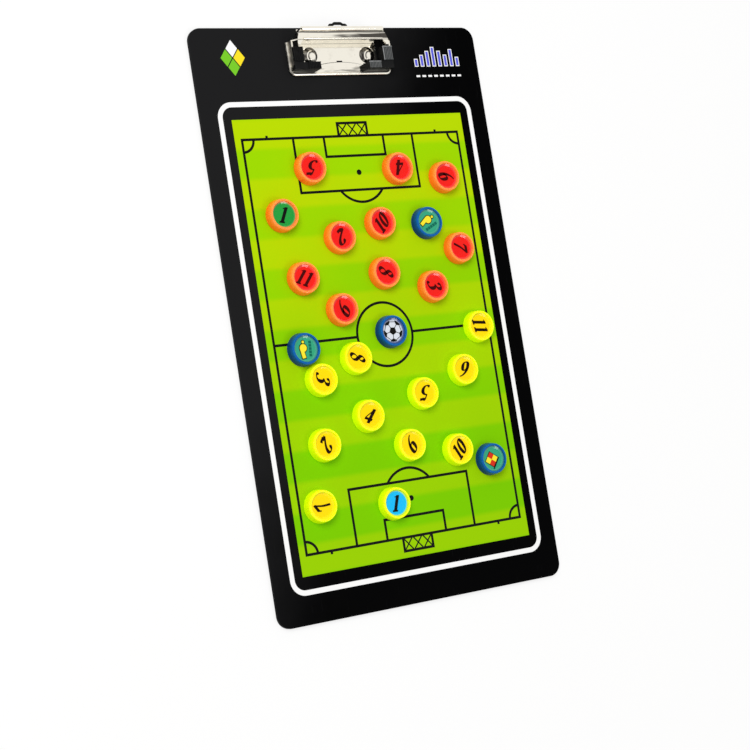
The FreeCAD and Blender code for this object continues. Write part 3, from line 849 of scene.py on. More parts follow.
def smooth_line(points: Sequence[Point], closed: bool) -> list[Vector]:
    """Give points along a smooth cubic line through the given ones.

    Args:
        points: points to pass through.
        closed: whether the line is a loop.

    Returns:
        The points of the smooth line.
    """
    knots = [Vector(point) for point in points]
    count = len(knots)
    if count == 2:
        return [knots[0].lerp(knots[1], step / CURVE_STEPS) for step in range(CURVE_STEPS + 1)]
    line = []
    for here in range(count if closed else count - 1):
        around = range(here - 1, here + 3)
        picks = [place % count if closed else min(max(place, 0), count - 1) for place in around]
        a, b, c, d = (knots[pick] for pick in picks)
        bend = 2 * a - 5 * b + 4 * c - d
        twist = 3 * b - a - 3 * c + d
        for step in range(CURVE_STEPS):
            t = step / CURVE_STEPS
            line.append(0.5 * (2 * b + (c - a) * t + bend * t * t + twist * t ** 3))
    return line if closed else line + [knots[-1]]


class Mould:
    """Gathers faces in millimetres and casts them as one mesh object."""

    def __init__(self) -> None:
        """Start with no faces."""
        self.mesh = bmesh.new()

    def face(self, corners: Sequence[bmesh.types.BMVert], slot: int = 0) -> None:
        """Add one face with its material slot."""
        self.mesh.faces.new(corners).material_index = slot

    def ring(self, points: Iterable[Sequence[float]]) -> list[bmesh.types.BMVert]:
        """Add a vertex at each point."""
        return [self.mesh.verts.new(Vector(point)) for point in points]

    def join(
        self,
        low: Sequence[bmesh.types.BMVert],
        high: Sequence[bmesh.types.BMVert],
        slot: int = 0,
        closed: bool = True,
    ) -> None:
        """Add the band of faces between two rows of vertices.

        Args:
            low: the first row.
            high: the second row, with as many vertices.
            slot: material slot of its faces.
            closed: whether the rows are loops.
        """
        count = len(low)
        for here in range(count if closed else count - 1):
            after = (here + 1) % count
            self.face((low[here], low[after], high[after], high[here]), slot)

    def prism(self, outline: Sequence[Point], layer: Layer) -> None:
        """Add an upright block over a closed outline.

        Args:
            outline: corner points, counter-clockwise from above.
            layer: heights and slot of the block.
        """
        bottom = self.ring((x, y, layer.low) for x, y in outline)
        top = self.ring((x, y, layer.high) for x, y in outline)
        self.join(bottom, top, layer.slot)
        self.face(top, layer.slot)
        self.face(bottom[::-1], layer.slot)

    def ribbon(self, left: Sequence[Point], right: Sequence[Point], layer: Layer, closed: bool) -> None:
        """Add a flat band between two lines.

        Args:
            left: points along its left edge.
            right: as many points along its right edge.
            layer: heights and slot of the band.
            closed: whether the band is a loop.
        """
        edges = ((right, layer.low), (right, layer.high), (left, layer.high), (left, layer.low))
        rows = [self.ring((x, y, z) for x, y in edge) for edge, z in edges]
        for here, row in enumerate(rows):
            self.join(row, rows[(here + 1) % len(rows)], layer.slot, closed)
        if not closed:
            self.face([row[0] for row in rows], layer.slot)
            self.face([row[-1] for row in rows[::-1]], layer.slot)

    def lathe(self, profile: Sequence[Point], steps: int) -> None:
        """Add a closed body of revolution about Z.

        Args:
            profile: radius and height of each point, from axis to axis or in a closed loop.
            steps: number of steps round the axis.
        """
        middle = (0.0, 0.0)
        rounds = [(circle(middle, radius, steps), z) for radius, z in profile if radius > 0.0]
        rings = [self.ring((x, y, z) for x, y in points) for points, z in rounds]
        for low, high in zip(rings, rings[1:]):
            self.join(low, high)
        if profile[0][0] == 0.0:
            self._fan(rings[0][::-1], profile[0][1])
            self._fan(rings[-1], profile[-1][1])
        else:
            self.join(rings[-1], rings[0])

    def _fan(self, ring: Sequence[bmesh.types.BMVert], height: float) -> None:
        """Close a ring with triangles to a point on the axis.

        Args:
            ring: the ring's vertices.
            height: height of the point.
        """
        middle = self.mesh.verts.new(Vector((0.0, 0.0, height)))
        for here, corner in enumerate(ring):
            self.face((corner, ring[(here + 1) % len(ring)], middle))

    def tube(self, path: Sequence[Vector], radius: float, sides: int) -> None:
        """Add a round wire along a path, with flat ends.

        Args:
            path: points of its centre line.
            radius: radius of the wire.
            sides: number of sides of its section.
        """
        rings = []
        side = None
        for here, point in enumerate(path):
            ahead = (path[min(here + 1, len(path) - 1)] - path[max(here - 1, 0)]).normalized()
            side = ahead.orthogonal() if side is None else side - ahead * side.dot(ahead)
            side.normalize()
            other = ahead.cross(side)
            section = [(side * math.cos(a) + other * math.sin(a)) * radius for a in turns(sides)]
            rings.append(self.ring(point + offset for offset in section))
        for low, high in zip(rings, rings[1:]):
            self.join(low, high)
        self.face(rings[0][::-1])
        self.face(rings[-1])

    def cast(self, name: str, finishes: Sequence[Finish], sharp: float = 40.0) -> bpy.types.Object:
        """Make the object.

        Args:
            name: name of the piece.
            finishes: finish of each material slot.
            sharp: angle in degrees from which an edge stays sharp.

        Returns:
            The new object, linked to the scene.
        """
        self.mesh.normal_update()
        bmesh.ops.scale(self.mesh, vec=(MM, MM, MM), verts=self.mesh.verts)
        data = bpy.data.meshes.new(name)
        self.mesh.to_mesh(data)
        self.mesh.free()
        for finish in finishes:
            data.materials.append(finish.material())
        data.shade_smooth()
        data.set_sharp_from_angle(angle=math.radians(sharp))
        piece = bpy.data.objects.new(name, data)
        bpy.context.scene.collection.objects.link(piece)
        return piece


def box_mm(node: str) -> tuple[Vector, Vector]:
    """Give a node's lowest and highest corners in millimetres."""
    low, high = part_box(node)
    return low / MM, high / MM


def dress(node: str, finish: Finish) -> str:
    """Give a carried-over solid its finish.

    Args:
        node: name of the solid.
        finish: the finish for all of its faces.

    Returns:
        The solid's name.
    """
    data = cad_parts[node].data
    data.materials.clear()
    data.materials.append(finish.material())
    data.polygons.foreach_set("material_index", [0] * len(data.polygons))
    return node


def settle(piece: bpy.types.Object, body: str, slot: str, *nodes: str) -> str:
    """Put a new piece on its body.

    Args:
        piece: the new piece.
        body: the body that it moves with.
        slot: not used.
        nodes: the solids that it stands for.

    Returns:
        The piece's name.
    """
    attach(piece, body)
    if nodes:
        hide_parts(*nodes)
    return piece.name


@dataclass(frozen=True)
class Stroke:
    """One stroke of a numeral, in shares of the numeral's height."""

    points: tuple[Point, ...]
    weight: float = 1.0
    closed: bool = False
    ball: float = 0.0
    nib_turn: float = 0.0


ZERO_SHARES = tuple(arc((0.28, 0.5), (0.19, 0.46), 0.0, 315.0, 7))
SIX_WIDTH_SHARE = 0.55
SIX_SHARES = (
    (0.53, 0.97), (0.34, 0.87), (0.16, 0.64), (0.09, 0.36), (0.13, 0.11), (0.27, 0.03),
    (0.41, 0.11), (0.46, 0.30), (0.42, 0.50), (0.31, 0.57), (0.18, 0.50), (0.11, 0.40),
)
EIGHT_SHARES = (
    (0.41, 0.86), (0.28, 0.96), (0.15, 0.88), (0.14, 0.70), (0.28, 0.53), (0.42, 0.36), (0.43, 0.14),
    (0.27, 0.03), (0.11, 0.12), (0.10, 0.32), (0.25, 0.51), (0.40, 0.68),
)
TWO_SHARES = (
    (0.09, 0.73), (0.15, 0.90), (0.29, 0.96), (0.43, 0.88), (0.44, 0.69), (0.32, 0.44), (0.05, 0.10),
)
THREE_TOP_SHARES = ((0.10, 0.79), (0.17, 0.92), (0.29, 0.96), (0.42, 0.88), (0.41, 0.70), (0.20, 0.55))
THREE_BOWL_SHARES = (
    (0.05, 0.11), (0.16, 0.03), (0.31, 0.05), (0.44, 0.17), (0.45, 0.36), (0.35, 0.51), (0.20, 0.55),
)
FIVE_BOWL_SHARES = (
    (0.04, 0.09), (0.16, 0.03), (0.32, 0.08), (0.43, 0.25), (0.42, 0.44), (0.29, 0.58), (0.09, 0.62),
)
NUMERAL_STROKES: dict[str, tuple[Stroke, ...]] = {
    "0": (Stroke(ZERO_SHARES, closed=True),),
    "1": (
        Stroke(((0.30, 0.98), (0.30, 0.03))),
        Stroke(((0.12, 0.025), (0.48, 0.025)), 1.4),
        Stroke(((0.33, 0.96), (0.22, 0.90), (0.10, 0.88)), 0.8),
    ),
    "2": (
        Stroke(TWO_SHARES, ball=0.06),
        Stroke(((0.05, 0.08), (0.18, 0.12), (0.34, 0.08), (0.50, 0.16)), 2.1),
    ),
    "3": (Stroke(THREE_TOP_SHARES, ball=0.05), Stroke(THREE_BOWL_SHARES, ball=0.07)),
    "4": (
        Stroke(((0.38, 0.96), (0.03, 0.28)), 0.4),
        Stroke(((0.02, 0.26), (0.54, 0.26)), 2.0),
        Stroke(((0.37, 0.97), (0.37, 0.0)), 0.95),
    ),
    "5": (
        Stroke(((0.15, 0.92), (0.33, 0.91), (0.51, 0.96)), 2.3),
        Stroke(((0.15, 0.94), (0.10, 0.60)), 0.4),
        Stroke(FIVE_BOWL_SHARES, ball=0.065),
    ),
    "6": (Stroke(SIX_SHARES),),
    "7": (
        Stroke(((0.07, 0.88), (0.52, 0.91)), 2.5),
        Stroke(((0.09, 0.93), (0.03, 0.72)), 0.45),
        Stroke(((0.51, 0.95), (0.29, 0.50), (0.18, 0.0)), 0.7),
    ),
    "8": (Stroke(EIGHT_SHARES, 0.88, closed=True, nib_turn=30.0),),
    "9": (Stroke(tuple((SIX_WIDTH_SHARE - x, 1.0 - y) for x, y in SIX_SHARES)),),
}


@dataclass(frozen=True)
class Pen:
    """A broad pen that draws slanted numerals with thick stems and thin turns."""

    height: float
    squeeze: float = 1.0
    thick: float = 0.22
    thin: float = 0.07
    nib_degrees: float = 12.0
    slant: float = 0.27
    middle: float = 0.5
    advance: float = 0.56
    contrast: float = 2.0
    stroke_lift: float = 0.125
    ball_lift: float = 0.2
    ball_steps: int = 20

    def draw(self, mould: Mould, text: str, layer: Layer) -> None:
        """Draw a number about the origin.

        Args:
            mould: where the faces go.
            text: the number's digits.
            layer: heights and slot of the ink.
        """
        width = self.advance * len(text)
        for place, digit in enumerate(text):
            shift = self.advance * place - width / 2
            for count, stroke in enumerate(NUMERAL_STROKES[digit]):
                self._stroke(mould, stroke, shift, layer.raised(count * self.stroke_lift, layer.slot))

    def _lean(self, point: Vector, shift: float) -> Point:
        """Slant a point of a stroke and bring it to its place in millimetres."""
        y = point.y - self.middle
        return ((point.x + shift) * self.squeeze + y * self.slant) * self.height, y * self.height

    def _half(self, ahead: Vector, stroke: Stroke) -> float:
        """Give half of the line's width for the way in which the pen goes.

        Args:
            ahead: the pen's direction.
            stroke: the stroke that it draws.

        Returns:
            Half of the width, as a share of the height.
        """
        turn = math.atan2(ahead.y, ahead.x) - math.radians(self.nib_degrees + stroke.nib_turn)
        width = self.thin + (self.thick - self.thin) * abs(math.sin(turn)) ** self.contrast
        return width * stroke.weight / 2

    def _stroke(self, mould: Mould, stroke: Stroke, shift: float, layer: Layer) -> None:
        """Draw one stroke.

        Args:
            mould: where the faces go.
            stroke: the stroke in shares of the height.
            shift: how far its digit lies to the right, as a share of the height.
            layer: heights and slot of the ink.
        """
        line = smooth_line(stroke.points, stroke.closed)
        last = len(line) - 1
        left, right = [], []
        for here, point in enumerate(line):
            after = line[(here + 1) % len(line)] if stroke.closed else line[min(here + 1, last)]
            before = line[here - 1] if stroke.closed else line[max(here - 1, 0)]
            ahead = (after - before).normalized()
            aside = Vector((-ahead.y, ahead.x)) * self._half(ahead, stroke)
            left.append(self._lean(point + aside, shift))
            right.append(self._lean(point - aside, shift))
        mould.ribbon(left, right, layer, stroke.closed)
        if stroke.ball:
            dots = circle((line[0].x + stroke.ball / 2, line[0].y), stroke.ball, self.ball_steps)
            outline = [self._lean(Vector(dot), shift) for dot in dots]
            mould.prism(outline, layer.raised(self.ball_lift, layer.slot))


INK_SLOT = 1
FILL_SLOT = 2
DETAIL_SLOT = 3


@dataclass(frozen=True)
class SignPrint:
    """A sign printed on a label, with the inks that it takes besides the label's own."""

    inks: tuple[PrintInk, ...] = ()

    def draw(self, mould: Mould, layer: Layer) -> None:
        """Add the sign's faces to a mould, over a layer of the label's own ink."""
        raise NotImplementedError


@dataclass(frozen=True)
class WhistlePrint(SignPrint):
    """A plain whistle over a row of dashes: a round body, a mouthpiece and a ring."""

    inks: tuple[PrintInk, ...] = (SIGN_YELLOW, SIGN_TEAL)
    body_middle: Point = (0.9, 1.3)
    body_radius: float = 2.3
    body_steps: int = 36
    ring_middle: Point = (4.3, 0.4)
    ring_radius: float = 0.8
    ring_steps: int = 24
    mouth_end: float = -5.0
    mouth_half: float = 1.15
    line: float = 0.5
    lift: float = 0.25
    dash_middle: Point = (-0.6, -3.1)
    dash_degrees: float = -14.0
    dash_half: Point = (0.75, 0.85)
    dash_pitch: float = 1.9
    dash_places: range = range(-2, 3)

    def draw(self, mould: Mould, layer: Layer) -> None:
        """Add the sign's faces to a mould.

        Args:
            mould: where the faces go.
            layer: heights and slot of the label's own ink.
        """
        top = self.body_middle[1] + self.body_radius
        mouth = (self.mouth_end, top - 2 * self.mouth_half, self.body_middle[0], top)
        under = layer.raised(-self.lift, INK_SLOT)
        over = layer.raised(self.lift, FILL_SLOT)
        mould.prism(circle(self.body_middle, self.body_radius + self.line, self.body_steps), layer)
        mould.prism(rectangle(*mouth, grow=self.line), under)
        mould.prism(circle(self.body_middle, self.body_radius, self.body_steps), over)
        mould.prism(rectangle(*mouth), layer.raised(2 * self.lift, FILL_SLOT))
        mould.prism(circle(self.ring_middle, self.ring_radius + self.line, self.ring_steps), under)
        mould.prism(circle(self.ring_middle, self.ring_radius, self.ring_steps), over)
        self._dashes(mould, layer.raised(0.0, DETAIL_SLOT))

    def _dashes(self, mould: Mould, layer: Layer) -> None:
        """Add the row of dashes.

        Args:
            mould: where the faces go.
            layer: heights and slot of the ink.
        """
        way = Vector(polar(1.0, self.dash_degrees))
        up = Vector((-way.y, way.x))
        wide, tall = self.dash_half
        for place in self.dash_places:
            middle = Vector(self.dash_middle) + way * (place * self.dash_pitch)
            corners = rectangle(-wide, -tall, wide, tall)
            mould.prism([tuple(middle + way * x + up * y) for x, y in corners], layer)


@dataclass(frozen=True)
class FlagPrint(SignPrint):
    """A plain chequered flag of four squares with its staff."""

    inks: tuple[PrintInk, ...] = (SIGN_YELLOW, SIGN_RED)
    middle: Point = (-0.6, -0.9)
    square: float = 3.3
    line: float = 0.4
    lift: float = 0.25
    line_lift: float = 0.0625
    staff_width: float = 0.6
    staff_ends: Point = (-4.6, 3.6)

    def draw(self, mould: Mould, layer: Layer) -> None:
        """Add the sign's faces to a mould.

        Args:
            mould: where the faces go.
            layer: heights and slot of the label's own ink.
        """
        middle_x, middle_y = self.middle
        for column in (-1, 0):
            for row in (-1, 0):
                x, y = middle_x + column * self.square, middle_y + row * self.square
                square = (x, y, x + self.square, y + self.square)
                below = self.line_lift * (2 + column + row)
                mould.prism(rectangle(*square, grow=self.line), layer.raised(-below, INK_SLOT))
                colour = FILL_SLOT if column == row else DETAIL_SLOT
                mould.prism(rectangle(*square), layer.raised(self.lift, colour))
        staff = middle_x + self.square + self.line
        low, high = (middle_y + end for end in self.staff_ends)
        outline = rectangle(staff, low, staff + self.staff_width, high)
        mould.prism(outline, layer.raised(2 * self.lift, INK_SLOT))


@dataclass(frozen=True)
class BallPrint(SignPrint):
    """A plain football: a middle patch, five patches at the rim and the seams between."""

    sides: int = 5
    first_degrees: float = 90.0
    patch: float = 2.5
    tip: float = 4.5
    corner: float = 5.75
    rim: float = 6.5
    rim_steps: int = 8
    half_open: float = 19.0
    seam_half: float = 0.17
    lift: float = 1 / 6

    def draw(self, mould: Mould, layer: Layer) -> None:
        """Add the sign's faces to a mould.

        Args:
            mould: where the faces go.
            layer: heights and slot of the label's own ink.
        """
        over = layer.raised(self.lift, layer.slot)
        pitch = 360 / self.sides
        angles = [self.first_degrees + pitch * place for place in range(self.sides)]
        mould.prism([polar(self.patch, angle) for angle in angles], over)
        for angle in angles:
            start, end = angle - self.half_open, angle + self.half_open
            outer = arc((0.0, 0.0), (self.rim, self.rim), start, end, self.rim_steps)
            point = polar(self.tip, angle)
            near, far = polar(self.corner, end), polar(self.corner, start)
            mould.prism([*outer, near, point, far], over)
            self._seam(mould, polar(self.patch, angle), point, layer)
            self._seam(mould, near, polar(self.corner, start + pitch), layer)

    def _seam(self, mould: Mould, start: Point, end: Point, layer: Layer) -> None:
        """Add a straight seam.

        Args:
            mould: where the faces go.
            start: where it starts.
            end: where it ends.
            layer: heights and slot of the ink.
        """
        ends = Vector(start), Vector(end)
        way = (ends[1] - ends[0]).normalized()
        aside = Vector((-way.y, way.x)) * self.seam_half
        mould.ribbon([tuple(at + aside) for at in ends], [tuple(at - aside) for at in ends], layer, False)


class Team(Enum):
    """The counters' colours, as names."""

    ORANGE = "counter_orange"
    YELLOW = "counter_yellow"
    BLUE = "counter_blue"


class Sign(Enum):
    """What a counter's label carries."""

    NUMBER = "number"
    WHISTLE = "whistle"
    FLAG = "flag"
    BALL = "ball"


CAP_FINISHES: dict[Team, CapPlastic] = {
    Team.ORANGE: CapPlastic("cap_orange", (0.98, 0.16, 0.008), (1.0, 0.29, 0.06), 0.4, 0.3, 0.22),
    Team.YELLOW: CapPlastic("cap_yellow", (0.71, 0.98, 0.001), (0.88, 0.96, 0.006), 0.4, 0.2, 0.2),
    Team.BLUE: CapPlastic("cap_blue", (0.002, 0.045, 0.215), (0.005, 0.13, 0.43), 0.1, 0.08),
}
SIGN_PRINTS: dict[Sign, SignPrint] = {
    Sign.WHISTLE: WhistlePrint(),
    Sign.FLAG: FlagPrint(),
    Sign.BALL: BallPrint(),
}
DIGIT_PEN = Pen(9.6)
PAIR_PEN = Pen(9.2, 0.94)


class Assembly:
    """A sub-assembly that is built in one go."""

    def build(self) -> list[str]:
        """Make and dress the pieces, and give their names."""
        raise NotImplementedError


@dataclass
class Counter(Assembly):
    """One magnetic counter: a lathed cap, a label with its sign, and a magnet."""

    node: str
    team: Team
    sign: Sign
    label: LabelPaper
    turn_degrees: float
    number: str = ""
    radius: float = 10.0
    shoulder_radius: float = 9.4
    shoulder_height: float = 4.7
    shoulder_steps: int = 9
    crown_radius: float = 8.7
    height: float = 6.0
    foot_round: float = 0.5
    foot_steps: int = 5
    rim_round: float = 0.22
    rim_steps: int = 4
    recess_radius: float = 7.92
    recess_floor: float = 4.1
    core_radius: float = 0.99
    cap_steps: int = 96
    label_radius: float = 7.9
    label_top: float = 4.33
    brim: float = 1.4
    brim_bend: float = 0.12
    brim_rise: float = 0.46
    ink: float = 0.12
    magnet_radius: float = 8.0
    magnet_height: float = 2.5
    magnet_chamfer: float = 0.25
    well_gap: float = 0.05
    disc_steps: int = 72

    def build(self) -> list[str]:
        """Make the three pieces and put them where the solid is.

        Returns:
            The pieces' names.
        """
        pieces = [self._cap(), self._label(), self._magnet()]
        low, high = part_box(self.node)
        for piece in pieces:
            piece.location = ((low.x + high.x) / 2, (low.y + high.y) / 2, low.z)
            piece.rotation_euler.z = math.radians(self.turn_degrees)
        return [settle(piece, self.node, self.team.value, self.node) for piece in pieces]

    def _cap(self) -> bpy.types.Object:
        """Make the moulded cap with its rounded shoulder, rim, recess and magnet well.

        Returns:
            The cap, about the origin.
        """
        well_radius = self.magnet_radius + self.well_gap
        well_top = self.magnet_height + self.well_gap
        foot, rim = self.foot_round, self.rim_round
        edge = (self.shoulder_radius - self.crown_radius, self.height - self.shoulder_height)
        inner = (self.recess_radius + rim, self.height - rim)
        profile = [
            (well_radius, 0.0),
            *arc((self.radius - foot, foot), (foot, foot), -90, 0, self.foot_steps),
            *arc((self.crown_radius, self.shoulder_height), edge, 0, 90, self.shoulder_steps),
            *arc(inner, (rim, rim), 90, 180, self.rim_steps),
            (self.recess_radius, self.recess_floor),
            (self.core_radius, self.recess_floor),
            (self.core_radius, well_top),
            (well_radius, well_top),
        ]
        mould = Mould()
        mould.lathe(profile, self.cap_steps)
        return mould.cast(self.node + "_cap", [CAP_FINISHES[self.team]])

    def _label(self) -> bpy.types.Object:
        """Make the label disc with its sloped brim and raised print.

        Returns:
            The label, about the origin.
        """
        mould = Mould()
        bend = self.brim_bend / self.brim
        profile = [(0.0, self.recess_floor), (self.label_radius, self.recess_floor)]
        for share in (1.0, 1.0 - bend, bend, 0.0, -bend):
            radius = self.label_radius - self.brim * (1 - share)
            profile.append((radius, self.label_top + self.brim_rise * max(share, 0.0)))
        mould.lathe([*profile, (0.0, self.label_top)], self.disc_steps)
        layer = Layer(self.label_top - self.ink, self.label_top + self.ink, INK_SLOT)
        finishes: list[Finish] = [self.label, LABEL_INKS.get(self.label, BLACK_INK)]
        if self.sign is Sign.NUMBER:
            pen = PAIR_PEN if len(self.number) > 1 else DIGIT_PEN
            pen.draw(mould, self.number, layer)
        else:
            sign = SIGN_PRINTS[self.sign]
            sign.draw(mould, layer)
            finishes += sign.inks
        return mould.cast(self.node + "_label", finishes)

    def _magnet(self) -> bpy.types.Object:
        """Make the magnet disc with chamfered edges.

        Returns:
            The magnet, about the origin.
        """
        radius, height, chamfer = self.magnet_radius, self.magnet_height, self.magnet_chamfer
        bottom = [(0.0, 0.0), (radius - chamfer, 0.0), (radius, chamfer)]
        top = [(radius, height - chamfer), (radius - chamfer, height), (0.0, height)]
        mould = Mould()
        mould.lathe(bottom + top, self.disc_steps)
        return mould.cast(self.node + "_magnet", [MAGNET])


ORANGE_TURNS = (-11, 200, -85, 180, 168, -70, -94, -98, -124, 45, -24)
YELLOW_TURNS = (-4, -135, -106, -24, 172, 172, 120, -93, -135, 43, -81)
TEAMS = (
    ("orange", Team.ORANGE, LABEL_GREEN, LABEL_RED, ORANGE_TURNS),
    ("yellow", Team.YELLOW, LABEL_CYAN, LABEL_GOLD, YELLOW_TURNS),
)
BLUE_COUNTERS = (
    ("referee_counter_1", Sign.WHISTLE, LABEL_TEAL, 41),
    ("referee_counter_2", Sign.WHISTLE, LABEL_TEAL, 100),
    ("linesman_counter", Sign.FLAG, LABEL_TEAL, -35),
    ("ball_counter", Sign.BALL, LABEL_WHITE, -40),
)


def all_counters() -> list[Counter]:
    """List the two numbered teams, the two referees, the linesman and the ball.

    Returns:
        The counters in the order in which they are built.
    """
    made = []
    for colour, team, keeper, player, angles in TEAMS:
        for place, angle in enumerate(angles, 1):
            label = keeper if place == 1 else player
            made.append(Counter(f"{colour}_counter_{place:02d}", team, Sign.NUMBER, label, angle, str(place)))
    for node, sign, label, angle in BLUE_COUNTERS:
        made.append(Counter(node, Team.BLUE, sign, label, angle))
    return made


@dataclass
class Board(Assembly):
    """The slab with its printed field, lines and border, and two plain badges beside the clip."""

    bands: int = 15
    ink: float = 0.06
    sunk: float = 0.04
    diamond_middle: Point = (-73.4, 157.0)
    diamond_half: Point = (4.2, 5.6)
    diamond_gap: float = 0.45
    bars_left: float = 52.5
    bars_base: float = 150.0
    bar_width: float = 2.7
    bar_gap: float = 1.7
    bar_heights: tuple[float, ...] = (5.0, 7.5, 10.0, 12.5, 10.0, 7.5, 11.0, 6.0)
    bar_outline: float = 0.5
    bar_fill: float = 0.09
    dash_y: float = 143.4
    dash_height: float = 1.2

    def build(self) -> list[str]:
        """Dress the solids and print the badges.

        Returns:
            The pieces' names.
        """
        low, high = box_mm("field_sheet")
        finishes = {
            "rear_panel": LACQUER,
            "front_panel": LACQUER,
            "steel_sheet": SHEET_STEEL,
            "field_sheet": FieldPrint("field_print", low.y, (high.y - low.y) / self.bands),
            "pitch_lines": BLACK_INK,
            "border_line": WHITE_INK,
        }
        made = [dress(node, finish) for node, finish in finishes.items()]
        face = box_mm("front_panel")[1].z
        return [*made, self._diamonds(face), self._bars(face)]

    def _diamonds(self, face: float) -> str:
        """Print a cluster of four diamonds on the left of the clip.

        Args:
            face: height of the board's face.

        Returns:
            The piece's name.
        """
        mould = Mould()
        wide, tall = self.diamond_half
        half_wide, half_tall = wide - self.diamond_gap, tall - self.diamond_gap
        for right, up, slot in ((0, 1, 0), (-1, 0, 1), (1, 0, 2), (0, -1, 1)):
            x, y = self.diamond_middle[0] + right * wide, self.diamond_middle[1] + up * tall
            outline = [(x + half_wide, y), (x, y + half_tall), (x - half_wide, y), (x, y - half_tall)]
            mould.prism(outline, Layer(face - self.sunk, face + self.ink, slot))
        piece = mould.cast("badge_diamonds", [WHITE_INK, BADGE_GREEN, BADGE_YELLOW])
        return settle(piece, "board", "border_white")

    def _bars(self, face: float) -> str:
        """Print a row of upright bars over a row of dashes on the right of the clip.

        Args:
            face: height of the board's face.

        Returns:
            The piece's name.
        """
        mould = Mould()
        white = Layer(face - self.sunk, face + self.ink)
        violet = Layer(face - self.sunk, face + self.bar_fill, 1)
        for place, tall in enumerate(self.bar_heights):
            left = self.bars_left + place * (self.bar_width + self.bar_gap)
            right = left + self.bar_width
            bar = (left, self.bars_base, right, self.bars_base + tall)
            mould.prism(rectangle(*bar), white)
            mould.prism(rectangle(*bar, grow=-self.bar_outline), violet)
            mould.prism(rectangle(left, self.dash_y, right, self.dash_y + self.dash_height), white)
        return settle(mould.cast("badge_bars", [WHITE_INK, BADGE_VIOLET]), "board", "border_white")


RIB_SLOT = 0
SIDE_SLOT = 1
LIP_SLOT = 2


